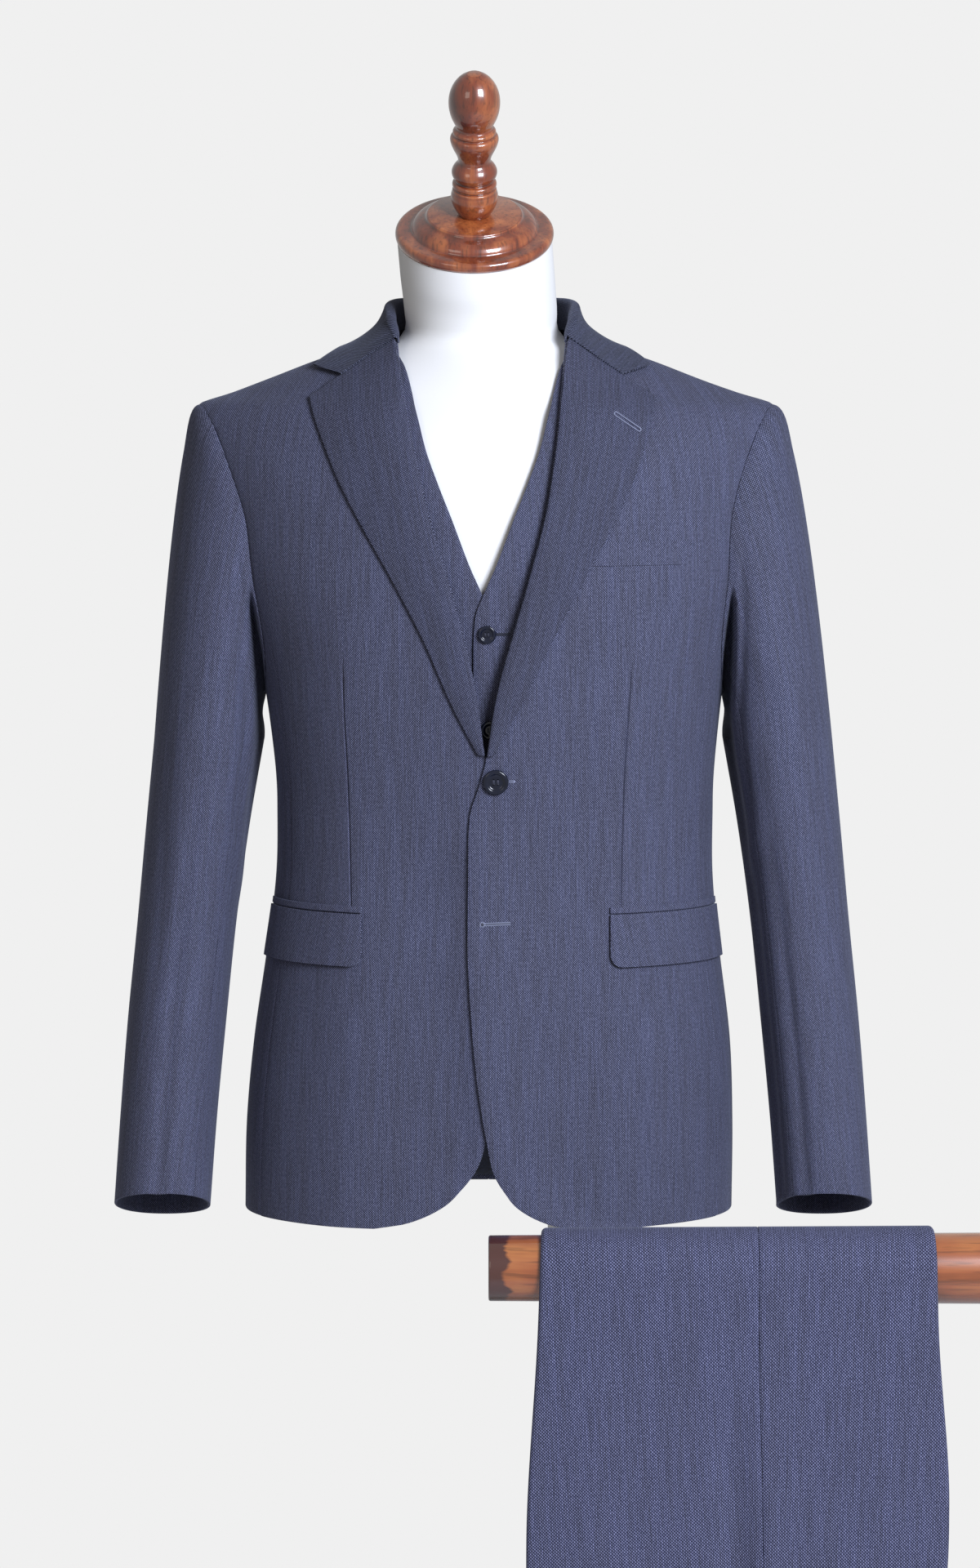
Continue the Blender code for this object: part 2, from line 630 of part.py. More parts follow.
# Jacket backs, side panels and fronts
NECKLINE_HEIGHT = 1.486
BODY_HEIGHTS = [0.757, 0.800, 0.850, 0.910, 0.970, 1.030, 1.090, 1.150, 1.190, 1.215, 1.245,
                1.280, 1.3105, 1.340, 1.370, 1.395, 1.415, 1.426, 1.433, 1.443, 1.455,
                1.468, NECKLINE_HEIGHT]
FRONT_HEIGHTS = [0.757, 0.762, 0.769, 0.780, 0.795, 0.815] + BODY_HEIGHTS[2:]


def back_point(side):
    def place(share, height):
        outer = past_seam(height, outer_turn(height, ARMHOLE_BACK, "back", SIDE_BACK_TURN), 90)
        middle = past_seam(height, 90, 0)
        return figure(height, mix(outer, middle, share), side)
    return place


def front_point(side):
    def place(share, height):
        outer = past_seam(height, -outer_turn(height, ARMHOLE_FRONT, "front",
                                              SIDE_FRONT_TURN), -90)
        inner = turn_at(height, front_x(height, blend_along(FRONT_EDGE, "away", height),
                                        side), side)
        turn = mix(inner, outer, share)
        x = on_section(FIGURE, height, turn, side).x
        return figure(height, turn, side, jacket_front_out(x, height, side))
    return place


def side_panel_point(side):
    def top_of(turn):
        low, high = ARMHOLE_LOW, (ARMHOLE_LOW + ARMHOLE_HIGH) / 2
        reach, name = (ARMHOLE_FRONT, "front") if turn < 0 else (ARMHOLE_BACK, "back")
        for _ in range(30):
            middle = (low + high) / 2
            if armhole_turn(middle, reach, name) < abs(turn):
                low = middle
            else:
                high = middle
        return low

    def place(turn, share):
        height = mix(HEM_HEIGHT, top_of(turn), share)
        front_edge = past_seam(height, -SIDE_FRONT_TURN, 0)
        back_edge = past_seam(height, SIDE_BACK_TURN, 0)
        share_round = (turn + SIDE_FRONT_TURN) / (SIDE_FRONT_TURN + SIDE_BACK_TURN)
        return figure(height, mix(front_edge, back_edge, share_round), side)
    return place


for side in (1, -1):
    flip = side < 0
    panel("jacket_back_" + side_name(side), spread(0, 1, 7), BODY_HEIGHTS, back_point(side),
          JACKET_CLOTH, "suiting", flip=flip)
    panel("jacket_front_" + side_name(side), spread(0, 1, 10), FRONT_HEIGHTS,
          front_point(side), JACKET_CLOTH, "suiting", flip=flip)
    panel("jacket_side_" + side_name(side), spread(-SIDE_FRONT_TURN, SIDE_BACK_TURN, 8),
          spread(0, 1, 10), side_panel_point(side), JACKET_CLOTH, "suiting", flip=flip)


def back_lining_point(offset, height):
    side = 1 if offset >= 0 else -1
    return figure(height, 90 - abs(offset), side, -JACKET_CLOTH - LINING_GAP)


panel("jacket_back_lining", spread(-38, 38, 10), (0.768, 0.800, 0.850), back_lining_point,
      LINING_CLOTH, "lining", flip=True)


# Lapels lie on the fronts, turned out along the roll line
def lapel_point(side):
    def place(across, share):
        height = mix(GORGE_HEIGHT, BREAK_HEIGHT, share)
        roll = (blend_along(FRONT_EDGE, "away", height), height)
        edge = (blend_along(LAPEL_EDGE, "away", share), blend_along(LAPEL_EDGE, "height", share))
        away, height = mix(roll[0], edge[0], across), mix(roll[1], edge[1], across)
        soft = math.sin(math.pi * min(max(across, 0.0), 1.0) ** 0.6)
        lift = LAPEL_LIFT * soft * (1 - 0.6 * share) * ramp(0.0, 0.2, share)
        return on_front(front_x(height, away, side), height, side,
                        LAID_GAP + JACKET_CLOTH + lift)
    return place


for side in (1, -1):
    panel("lapel_" + side_name(side), spread(0, 1, 5), spread(0, 1, 14), lapel_point(side),
          JACKET_CLOTH, "suiting", flip=side > 0)


# Collar: a stand and a fall folded in one piece round the neck
def collar_end_point(across, side):
    """End of the collar: the gorge, sewn to the lapel out to the notch, then the leaf."""
    if across < NOTCH_SHARE:
        start, end, share = GORGE_START, NOTCH_CORNER, across / NOTCH_SHARE
    else:
        start, end, share = NOTCH_CORNER, LEAF_TIP, (across - NOTCH_SHARE) / (1 - NOTCH_SHARE)
    away, height = mix(start[0], end[0], share), mix(start[1], end[1], share)
    return on_front(front_x(height, away, side), height, side, LAID_GAP + JACKET_CLOTH)


def collar_point(across, along):
    """Point of the collar: across runs from the stand (-1) over the fold (0) to the edge (1)."""
    side = 1 if along >= 0 else -1
    share = abs(along)
    neck = blend_along(FIGURE, "sway", GORGE_HEIGHT)
    half_fold = COLLAR_FOLD / 2
    fold = Vector((side * blend_along(COLLAR, "fold_x", share) + neck,
                   blend_along(COLLAR, "fold_y", share), blend_along(COLLAR, "fold_z", share)))
    away = Vector((fold.x - neck, fold.y, 0)).normalized()
    fall_top = fold + away * half_fold - Vector((0, 0, half_fold))
    to_end = ramp(GORGE_FROM, 1.0, share)
    if across <= 0:
        point = fold
        if across < 0:
            drop = blend_along(COLLAR, "stand", share) * (-across)
            point = fold - away * half_fold - Vector((0, 0, half_fold + drop))
        return point + (collar_end_point(0, side) - fall_top) * to_end

    def laid(at):
        height = mix(COLLAR_REST, blend_along(COLLAR, "edge_z", share), at)
        turn = mix(blend_along(COLLAR, "rest_turn", share),
                   blend_along(COLLAR, "edge_turn", share), at)
        return figure(height, turn, side, LAID_GAP + JACKET_CLOTH)

    point = laid(across) + (fall_top - laid(0)) * (1 - across) ** COLLAR_SETTLE
    return point.lerp(collar_end_point(across, side), to_end)


COLLAR_ACROSS = [-1, -0.5, -0.001, 0, 0.01, 0.06, 0.15, 0.34, NOTCH_SHARE, 1]
COLLAR_ALONG = [-1, -0.93, -0.84, -0.74, -0.64, -0.54, -0.42, -0.28, -0.14, 0,
                0.14, 0.28, 0.42, 0.54, 0.64, 0.74, 0.84, 0.93, 1]
cloth("jacket_collar", COLLAR_ACROSS, COLLAR_ALONG, collar_point, JACKET_CLOTH,
      "collar_suiting")


# Sleeves: one tube round the arm, cut along a front seam and a back seam
def sleeve_section(height, around):
    """Point of a hanging sleeve; around is 0 inside the arm, 0.25 at its front."""
    inner, outer = blend_along(SLEEVE, "inner", height), blend_along(SLEEVE, "outer", height)
    front, back = blend_along(SLEEVE, "front", height), blend_along(SLEEVE, "back", height)
    angle = 2 * math.pi * around
    c, s = math.cos(angle), math.sin(angle)
    x = (inner + outer) / 2 - (outer - inner) / 2 * math.copysign(abs(c) ** (2 / SLEEVE_POWER), c)
    y = (front + back) / 2 - (back - front) / 2 * math.copysign(abs(s) ** (2 / SLEEVE_POWER), s)
    rise = ((front + back) / 2 - y) * blend_along(SLEEVE, "rise", height)
    return Vector((x, y, height + rise))


def armhole_point(around, side):
    """Point of the armhole seam, just inside the cut of the body panels."""
    middle = (ARMHOLE_LOW + ARMHOLE_HIGH) / 2
    half = (ARMHOLE_HIGH - ARMHOLE_LOW) / 2
    inside = 1 - ARMHOLE_GAP / ARMHOLE_FRONT
    height = middle - half * inside * math.cos(2 * math.pi * around)
    reach, name = ((ARMHOLE_FRONT, "front") if math.sin(2 * math.pi * around) >= 0
                   else (ARMHOLE_BACK, "back"))
    turn = armhole_turn(height, reach * inside, name)
    return figure(height, -turn if name == "front" else turn, side, SLEEVE_SEAM_OUT)


def sleeve_point(side):
    under_arm = SLEEVE["rows"][-1][0]
    cuff = SLEEVE["rows"][0][0]

    def place(around, down):
        down = max(down, 0.0)
        if down >= 1:
            point = sleeve_section(mix(under_arm, cuff, down - 1), around)
            return Vector((side * point.x, point.y, point.z))
        seam = armhole_point(around, side)
        hang = sleeve_section(under_arm, around)
        hang.x *= side
        share = down ** HEAD_CURVE
        top = 0.5 - 0.5 * math.cos(2 * math.pi * around)
        rope = ROPE_RISE * top ** 3 * math.sin(math.pi * min(down / ROPE_END, 1.0))
        return Vector((mix(seam.x, hang.x, share), mix(seam.y, hang.y, share),
                       mix(seam.z, hang.z, down) + rope))
    return place


SLEEVE_DOWN = [0, 0.02, 0.06, 0.13, 0.24, 0.40, 0.60, 0.80, 1.0, 1.18, 1.36, 1.55, 1.75,
               1.9, 2.0]
seam_share = 0.5 * SEAM_GAP / SLEEVE_ROUND
for side in (1, -1):
    panel("top_sleeve_" + side_name(side),
          spread(FRONT_SLEEVE_SEAM + seam_share, BACK_SLEEVE_SEAM - seam_share, 12),
          SLEEVE_DOWN, sleeve_point(side), JACKET_CLOTH, "suiting", flip=side > 0)
    panel("under_sleeve_" + side_name(side),
          spread(BACK_SLEEVE_SEAM - 1 + seam_share, FRONT_SLEEVE_SEAM - seam_share, 8),
          SLEEVE_DOWN, sleeve_point(side), JACKET_CLOTH, "suiting", flip=side > 0)


# Hip pocket flaps and jets, lying on the front and side panels
def flap_point(side):
    def place(share, down):
        low = max(down - FLAP_ROUND_FROM, 0.0) / (1 - FLAP_ROUND_FROM)
        corner = FLAP_CORNER * (1 - math.sqrt(max(1 - low ** 2, 0.0)))
        height = FLAP_TOP - FLAP_DROP * down
        inner = turn_at(height, front_x(height, FLAP_INNER + corner, side), side)
        turn = mix(inner, FLAP_TURN_END, share)
        return figure(height, turn, side, LAID_GAP + JACKET_CLOTH + FLAP_LIFT * down)
    return place


def jet_point(side):
    def place(share, up):
        height = FLAP_TOP + JET_ABOVE_FLAP + JET_HEIGHT * up
        inner = turn_at(height, front_x(height, FLAP_INNER, side), side)
        return figure(height, mix(inner, FLAP_TURN_END, share), side,
                      LAID_GAP + POCKET_CLOTH)
    return place


for side in (1, -1):
    cloth("pocket_flap_" + side_name(side), spread(0, 1, 9), (1, 0.97, 0.9, 0.75, 0.35, 0),
          flap_point(side), JACKET_CLOTH, "suiting", flip=side < 0)
    cloth("pocket_jet_" + side_name(side), spread(0, 1, 9), (0, 1), jet_point(side),
          POCKET_CLOTH, "suiting", flip=side < 0)


def welt_point(share, up):
    height = mix(WELT_LOW, WELT_HIGH, up)
    x = mix(mix(*WELT_INNER, up), mix(*WELT_OUTER, up), share)
    return on_front(x, height, 1, LAID_GAP + POCKET_CLOTH)


cloth("breast_welt", spread(0, 1, 4), (0, 0.5, 1), welt_point, POCKET_CLOTH, "suiting")


# Buttons: turned discs with a raised rim
def button(name, seat, x, z, radius, height):
    """Button laid flat on the surface seat(x, z)."""
    step = radius / 2
    facing = (seat(x + step, z) - seat(x - step, z)).cross(seat(x, z + step) - seat(x, z - step))
    profile = ((height * 0.70, 0.0), (height * 0.70, radius * 0.62), (height, radius * 0.78),
               (height, radius * 0.90), (height * 0.70, radius), (height * 0.35, radius),
               (0.0, radius * 0.80), (0.0, 0.0))
    made = turned(name, profile, 14, "button")
    made.location = seat(x, z)
    made.rotation_mode = "QUATERNION"
    made.rotation_quaternion = facing.to_track_quat("Z", "Y")


def on_jacket(x, z):
    return on_front(x, z, 1, BUTTON_GAP)


def on_waistcoat(x, z):
    return figure(z, turn_at(z, x, 1), 1, waistcoat_out(x, z, 1) + BUTTON_GAP)


button("jacket_button", on_jacket, **JACKET_BUTTON)
for number, (x, z) in enumerate(WAISTCOAT_BUTTON_PLACES, 1):
    button("waistcoat_button_%d" % number, on_waistcoat, x, z, **WAISTCOAT_BUTTON)


# Trousers: folded along their creases and hung over the rod
def drape(run, x, out):
    """Point at a run along the drape, over the rod and down either side, moved out."""
    along_rod = (x - ROD_ENDS[0]) / (ROD_ENDS[1] - ROD_ENDS[0])
    radius = mix(ROD_RADII[0], ROD_RADII[1], along_rod) + out
    quarter = radius * math.pi / 2
    if abs(run) <= quarter:
        angle = run / radius
        return Vector((x, rod_y - radius * math.sin(angle), rod_z + radius * math.cos(angle)))
    side = math.copysign(1, run)
    return Vector((x, rod_y - side * radius, rod_z - (abs(run) - quarter)))


INNER_OUT = DRAPE_GAP + TROUSER_INNER
OUTER_OUT = INNER_OUT + DRAPE_GAP + TROUSER_CLOTH
TROUSER_RUNS = ([-0.550, -0.450, -0.350, -0.250, -0.160, -0.100] + spread(-0.056, 0.056, 12)
                + [0.095, 0.140, 0.190, 0.235, 0.270, 0.305, 0.340, 0.375, 0.410, 0.450, 0.500])


def leg_panel_point(inner_name, outer_name, out, inset=0.0):
    def place(share, run):
        low = blend_along(TROUSERS, inner_name, run) + inset
        high = blend_along(TROUSERS, outer_name, run) - inset
        return drape(run, mix(low, high, share), out)
    return place


RUNS_UP = TROUSER_RUNS[::-1]
inner_runs = [min(run, TROUSER_RUNS[-1] - INNER_SHORT) for run in RUNS_UP]
cloth("trouser_inner_legs", spread(0, 1, 4), inner_runs,
      leg_panel_point("left", "right", INNER_OUT, inset=INNER_NARROW), TROUSER_INNER, "suiting")
cloth("trouser_leg_back", spread(0, 1, 5), RUNS_UP,
      leg_panel_point("left", "seam", OUTER_OUT, inset=SEAM_GAP / 2), TROUSER_CLOTH, "suiting")
cloth("trouser_leg_front", spread(0, 1, 4), RUNS_UP,
      leg_panel_point("seam", "right", OUTER_OUT, inset=SEAM_GAP / 2), TROUSER_CLOTH,
      "suiting")
waist_run = TROUSER_RUNS[-1]


def waistband_point(share, down):
    run = waist_run + SEAM_GAP + WAISTBAND_DROP * down
    low, high = blend_along(TROUSERS, "left", waist_run), blend_along(TROUSERS, "right", waist_run)
    return drape(run, mix(low, high, share), OUTER_OUT)


cloth("trouser_waistband", spread(0, 1, 4), (1, 0.5, 0), waistband_point, WAISTBAND_CLOTH,
      "suiting")
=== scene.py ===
"""Looks of a three-piece suit on a limbless dress form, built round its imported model.

Metres, +Z up, the suit's front faces -Y and its wearer's left is +X."""

import math
from itertools import product

import bmesh
import bpy
import numpy as np
from mathutils import Matrix, Vector


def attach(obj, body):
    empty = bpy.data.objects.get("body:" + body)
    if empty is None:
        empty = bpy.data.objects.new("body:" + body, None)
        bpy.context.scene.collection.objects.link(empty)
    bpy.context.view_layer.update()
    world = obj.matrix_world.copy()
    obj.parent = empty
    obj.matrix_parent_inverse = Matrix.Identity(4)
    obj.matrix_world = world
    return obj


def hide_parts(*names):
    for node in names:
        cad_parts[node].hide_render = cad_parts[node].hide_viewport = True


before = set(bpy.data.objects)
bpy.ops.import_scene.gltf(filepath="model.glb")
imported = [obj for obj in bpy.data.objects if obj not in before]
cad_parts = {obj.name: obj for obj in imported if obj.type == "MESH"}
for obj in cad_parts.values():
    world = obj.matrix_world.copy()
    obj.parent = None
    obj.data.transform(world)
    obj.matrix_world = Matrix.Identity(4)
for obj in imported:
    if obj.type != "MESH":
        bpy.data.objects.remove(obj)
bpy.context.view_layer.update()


# ---- Dress form ----
# A man's tailoring form without head, arms or legs, moulded in papier-mache and padded,
# with a white cotton jersey pulled tight over it. Its neck leans forward and ends in a flat
# round top that carries the wooden cap. Only the neck and the open chest show.

FORM = {
    "columns": ("height", "half", "front", "back", "power", "sway", "forward", "lean"),
    "rows": (
        (0.8300, 0.178, 0.108, 0.104, 2.3, -0.003, 0.000, 0.0),
        (0.9000, 0.180, 0.112, 0.108, 2.3, -0.001, 0.000, 0.0),
        (0.9750, 0.174, 0.108, 0.100, 2.3, 0.000, 0.000, 0.0),
        (1.0400, 0.168, 0.104, 0.090, 2.3, 0.001, 0.000, 0.0),
        (1.1000, 0.165, 0.104, 0.089, 2.3, 0.001, 0.000, 0.0),
        (1.1650, 0.167, 0.111, 0.096, 2.3, 0.001, 0.000, 0.0),
        (1.2200, 0.176, 0.117, 0.104, 2.2, 0.000, 0.000, 0.0),
        (1.2800, 0.187, 0.120, 0.111, 2.2, -0.002, 0.000, 0.0),
        (1.3400, 0.196, 0.116, 0.112, 2.0, -0.004, 0.000, 0.0),
        (1.3850, 0.203, 0.108, 0.109, 1.8, -0.006, 0.000, 0.0),
        (1.4100, 0.208, 0.100, 0.102, 1.6, -0.006, 0.000, 0.0),
        (1.4250, 0.209, 0.095, 0.099, 1.4, -0.007, 0.000, 0.0),
        (1.4352, 0.203, 0.092, 0.095, 1.35, -0.007, 0.000, 0.0),
        (1.4465, 0.178, 0.088, 0.091, 1.35, -0.008, 0.000, 0.0),
        (1.4600, 0.138, 0.081, 0.081, 1.40, -0.008, 0.000, 0.0),
        (1.4740, 0.096, 0.072, 0.070, 1.6, -0.009, 0.000, 0.0),
        (1.4880, 0.067, 0.061, 0.055, 2.0, -0.0095, 0.001, 3.0),
        (1.5100, 0.0635, 0.060, 0.054, 2.0, -0.0105, 0.006, 10.0),
        (1.5380, 0.0640, 0.063, 0.061, 2.0, -0.0130, 0.015, 18.0),
    ),
}
FORM_HEIGHTS, FORM_RINGS, FORM_SIDES = (0.830, 1.538), 110, 112
NECK_RADIUS = 0.0640
CAP_MIDDLE = Vector((-0.0155, -0.030, 1.5775))
CAP_TILT = Matrix.Rotation(math.radians(27.0), 3, "X")
CAP_UNDERSIDE, CAP_GAP = -0.0092, 0.0003
COTTON_WHITE = "#FDFCFA"
JERSEY_STITCH_MM, JERSEY_CLOUD_MM, WAVE_UNITS = 1.0, 111.1, 6.5
FORM_CREASE, TURNED_CREASE = math.radians(50), math.radians(38)

read_before = {}    # table values that have been worked out once


def blend_along(table, name, at):
    """Value of a column at a place in the table's first column, on a smooth curve."""
    key = (id(table), name, at)
    if key in read_before:
        return read_before[key]
    index = table["columns"].index(name)
    places = [row[0] for row in table["rows"]]
    values = [row[index] for row in table["rows"]]
    if at <= places[0] or at >= places[-1]:
        return values[0] if at <= places[0] else values[-1]
    low = max(i for i in range(len(places) - 1) if places[i] <= at)

    def slope(i):
        before, after = max(i - 1, 0), min(i + 1, len(places) - 1)
        if before < i < after and (values[i] - values[before]) * (values[after] - values[i]) <= 0:
            return 0.0
        return (values[after] - values[before]) / (places[after] - places[before])

    step = places[low + 1] - places[low]
    t = (at - places[low]) / step
    read_before[key] = (
        values[low] * (2 * t ** 3 - 3 * t ** 2 + 1) + slope(low) * step * (t ** 3 - 2 * t ** 2 + t)
        + values[low + 1] * (3 * t ** 2 - 2 * t ** 3) + slope(low + 1) * step * (t ** 3 - t ** 2))
    return read_before[key]


def on_section(table, height, turn, side):
    """Point of a level section; turn is -90 at the front, 0 at the side, 90 at the back."""
    power = blend_along(table, "power", height)
    c, s = math.cos(math.radians(turn)), math.sin(math.radians(turn))
    depth = blend_along(table, "back" if s > 0 else "front", height)
    x = blend_along(table, "half", height) * math.copysign(abs(c) ** (2 / power), c)
    y = depth * math.copysign(abs(s) ** (2 / power), s)
    return Vector((side * x + blend_along(table, "sway", height), y, height))


def spread(low, high, count):
    return [low + (high - low) * i / count for i in range(count + 1)]


def linear(hex_colour):
    """sRGB hex value as a linear colour."""
    parts = [int(hex_colour[i:i + 2], 16) / 255 for i in (1, 3, 5)]
    return (*[p / 12.92 if p <= 0.04045 else ((p + 0.055) / 1.055) ** 2.4 for p in parts], 1.0)


def add_node(tree, kind, inputs=None, **settings):
    """Adds a node with its settings; each input is a value or another node's output."""
    made = tree.nodes.new(kind)
    for name, value in settings.items():
        setattr(made, name, value)
    for key, value in (inputs or {}).items():
        if isinstance(value, bpy.types.NodeSocket):
            tree.links.new(value, made.inputs[key])
        else:
            made.inputs[key].default_value = value
    return made


def new_finish(name, **constants):
    """Material with a Principled shader, its constant sockets set: (material, tree, shader)."""
    made = bpy.data.materials.new(name)
    made.use_nodes = True
    shader = made.node_tree.nodes["Principled BSDF"]
    for key, value in constants.items():
        shader.inputs[key.replace("_", " ")].default_value = value
    return made, made.node_tree, shader


def dress(piece, finish, slot, *nodes):
    """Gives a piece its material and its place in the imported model."""
    piece.data.materials.clear()
    piece.data.materials.append(finish)
    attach(piece, "root")
    if nodes:
        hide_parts(*nodes)
    return piece


def piece_from(shape, name):
    """Object made from a bmesh, smooth shaded."""
    mesh = bpy.data.meshes.new(name)
    shape.to_mesh(mesh)
    shape.free()
    mesh.shade_smooth()
    made = bpy.data.objects.new(name, mesh)
    bpy.context.scene.collection.objects.link(made)
    return made


def form_ring(height):
    lean = math.radians(blend_along(FORM, "lean", height))
    forward = blend_along(FORM, "forward", height)
    ring = []
    for i in range(FORM_SIDES):
        point = on_section(FORM, height, 360 * i / FORM_SIDES - 180, 1)
        ring.append(Vector((point.x, point.y * math.cos(lean) - forward,
                            height + point.y * math.sin(lean))))
    return ring


form_rings = [form_ring(height) for height in spread(*FORM_HEIGHTS, FORM_RINGS)]
neck_top = [CAP_MIDDLE + CAP_TILT @ Vector((
    NECK_RADIUS * math.cos(math.tau * i / FORM_SIDES - math.pi),
    NECK_RADIUS * math.sin(math.tau * i / FORM_SIDES - math.pi), CAP_UNDERSIDE - CAP_GAP))
    for i in range(FORM_SIDES)]
for share in (0.25, 0.5, 0.75, 1.0):
    form_rings.append([low.lerp(high, share)
                       for low, high in zip(form_rings[FORM_RINGS], neck_top)])
shape = bmesh.new()
loops = [[shape.verts.new(point) for point in ring] for ring in form_rings]
for low, high in zip(loops, loops[1:]):
    for i in range(FORM_SIDES):
        j = (i + 1) % FORM_SIDES
        shape.faces.new((low[i], low[j], high[j], high[i]))
shape.faces.new(loops[0][::-1])
shape.faces.new(loops[-1])
form = piece_from(shape, "covered_form")
form.data.set_sharp_from_angle(angle=FORM_CREASE)

# Brushed cotton jersey: matt and soft, with fine knitted wales that only show close to
cotton_jersey, tree, shader = new_finish("cotton_jersey", Roughness=0.88, Sheen_Weight=0.2,
                                         Sheen_Roughness=0.5, Specular_IOR_Level=0.25)
spot = add_node(tree, "ShaderNodeTexCoord").outputs["Object"]
wales = add_node(tree, "ShaderNodeTexWave", {
    "Vector": spot, "Scale": 1000 / JERSEY_STITCH_MM / WAVE_UNITS, "Distortion": 0.6,
    "Detail": 2.0}, bands_direction="X")
cloudy = add_node(tree, "ShaderNodeTexNoise", {
    "Vector": spot, "Scale": 1000 / JERSEY_CLOUD_MM, "Detail": 3.0})
shade = add_node(tree, "ShaderNodeMapRange", {
    "Value": cloudy.outputs["Fac"], "From Min": 0.3, "From Max": 0.7, "To Min": 0.97,
    "To Max": 1.0})
bleached = add_node(tree, "ShaderNodeMix", {
    "Factor": 1.0, "A": linear(COTTON_WHITE), "B": shade.outputs["Result"]},
    data_type="RGBA", blend_type="MULTIPLY")
tree.links.new(bleached.outputs["Result"], shader.inputs["Base Color"])
knit = add_node(tree, "ShaderNodeBump", {"Height": wales.outputs["Fac"], "Strength": 0.05,
                                         "Distance": 0.0001})
tree.links.new(knit.outputs["Normal"], shader.inputs["Normal"])
dress(form, cotton_jersey, "form_cover", "form_body")


# ---- Neck cap and finial ----
# A hardwood disc with an ogee step and a knob turned between centres, stained red-brown and
# lacquered until glossy. The knob is doweled into the cap, and the cap is screwed on the neck.

CAP_PROFILE = ((0.0130, 0.0000), (0.0130, 0.0385), (0.0124, 0.0397), (0.0108, 0.0402),
               (0.0098, 0.0412), (0.0088, 0.0436), (0.0076, 0.0466), (0.0056, 0.0494),
               (0.0030, 0.0513), (0.0008, 0.0521), (0.0000, 0.0528), (-0.0002, 0.0560),
               (-0.0004, 0.0622), (-0.0012, 0.0641), (-0.0028, 0.0653), (-0.0048, 0.0656),
               (-0.0070, 0.0653), (-0.0085, 0.0645), (-0.0092, 0.0630), (-0.0092, 0.0000))
FINIAL_PROFILE = ((0.1274, 0.0000), (0.1273, 0.0060), (0.1264, 0.0078), (0.1240, 0.0117),
                  (0.1198, 0.0156), (0.1145, 0.0187), (0.1082, 0.0207), (0.1018, 0.0213),
                  (0.0955, 0.0208), (0.0892, 0.0192), (0.0839, 0.0168), (0.0805, 0.0150),
                  (0.0786, 0.0150), (0.0776, 0.0164), (0.0764, 0.0177), (0.0745, 0.0178),
                  (0.0734, 0.0170), (0.0727, 0.0172), (0.0718, 0.0191), (0.0700, 0.0199),
                  (0.0679, 0.0200), (0.0645, 0.0192), (0.0601, 0.0174), (0.0553, 0.0149),
                  (0.0514, 0.0136), (0.0485, 0.0134), (0.0464, 0.0150), (0.0438, 0.0172),
                  (0.0407, 0.0186), (0.0388, 0.0188), (0.0367, 0.0186), (0.0340, 0.0174),
                  (0.0321, 0.0156), (0.0310, 0.0152), (0.0303, 0.0172), (0.0291, 0.0183),
                  (0.0264, 0.0183), (0.0254, 0.0170), (0.0248, 0.0166), (0.0243, 0.0172),
                  (0.0236, 0.0182), (0.0215, 0.0184), (0.0200, 0.0190), (0.0175, 0.0195),
                  (0.0136, 0.0193), (0.0092, 0.0181), (0.0049, 0.0160), (0.0015, 0.0138),
                  (0.0003, 0.0131), (0.0003, 0.0000))
TURNING_STEPS = 96
WOOD_DARK, WOOD_MID, WOOD_LIGHT = "#260B06", "#80371B", "#C8743F"
WOOD_GRAIN_MM, GRAIN_STRETCH, PORES_PER_GRAIN, STAIN_MM = 2.2, 0.08, 6.0, 55.56
# How hollow or ridged the wood's surface is, and how much darker or lighter that makes it: painted
# shade in the hollows and a painted highlight on the ridges
HOLLOWS, RIDGE_TO = (0.44, 0.56), (-0.26, 0.22)


def turned(name, profile, steps):
    """Turned piece: (height, radius) points, top to bottom, run round the Z axis."""
    shape = bmesh.new()
    loops = []
    for height, radius in profile:
        count = steps if radius else 1
        loops.append([shape.verts.new((radius * math.cos(math.tau * i / steps),
                                       radius * math.sin(math.tau * i / steps), height))
                      for i in range(count)])
    for high, low in zip(loops, loops[1:]):
        for i in range(steps):
            j = (i + 1) % steps
            ring = ([high[i], low[i], low[j], high[j]] if len(high) > 1 and len(low) > 1
                    else [high[0], low[i], low[j]] if len(high) == 1
                    else [high[i], low[0], high[j]])
            shape.faces.new(ring)
    made = piece_from(shape, name)
    made.data.set_sharp_from_angle(angle=TURNED_CREASE)
    return made


def rounded_profile(profile, times):
    """Profile with its corners cut again and again, as a gouge leaves them; ends stay."""
    points = list(profile)
    for _ in range(times):
        cut = [points[0], points[1]]
        for (h0, r0), (h1, r1) in zip(points[1:-2], points[2:-1]):
            cut += [(0.75 * h0 + 0.25 * h1, 0.75 * r0 + 0.25 * r1),
                    (0.25 * h0 + 0.75 * h1, 0.25 * r0 + 0.75 * r1)]
        points = cut + [points[-2], points[-1]]
    return points


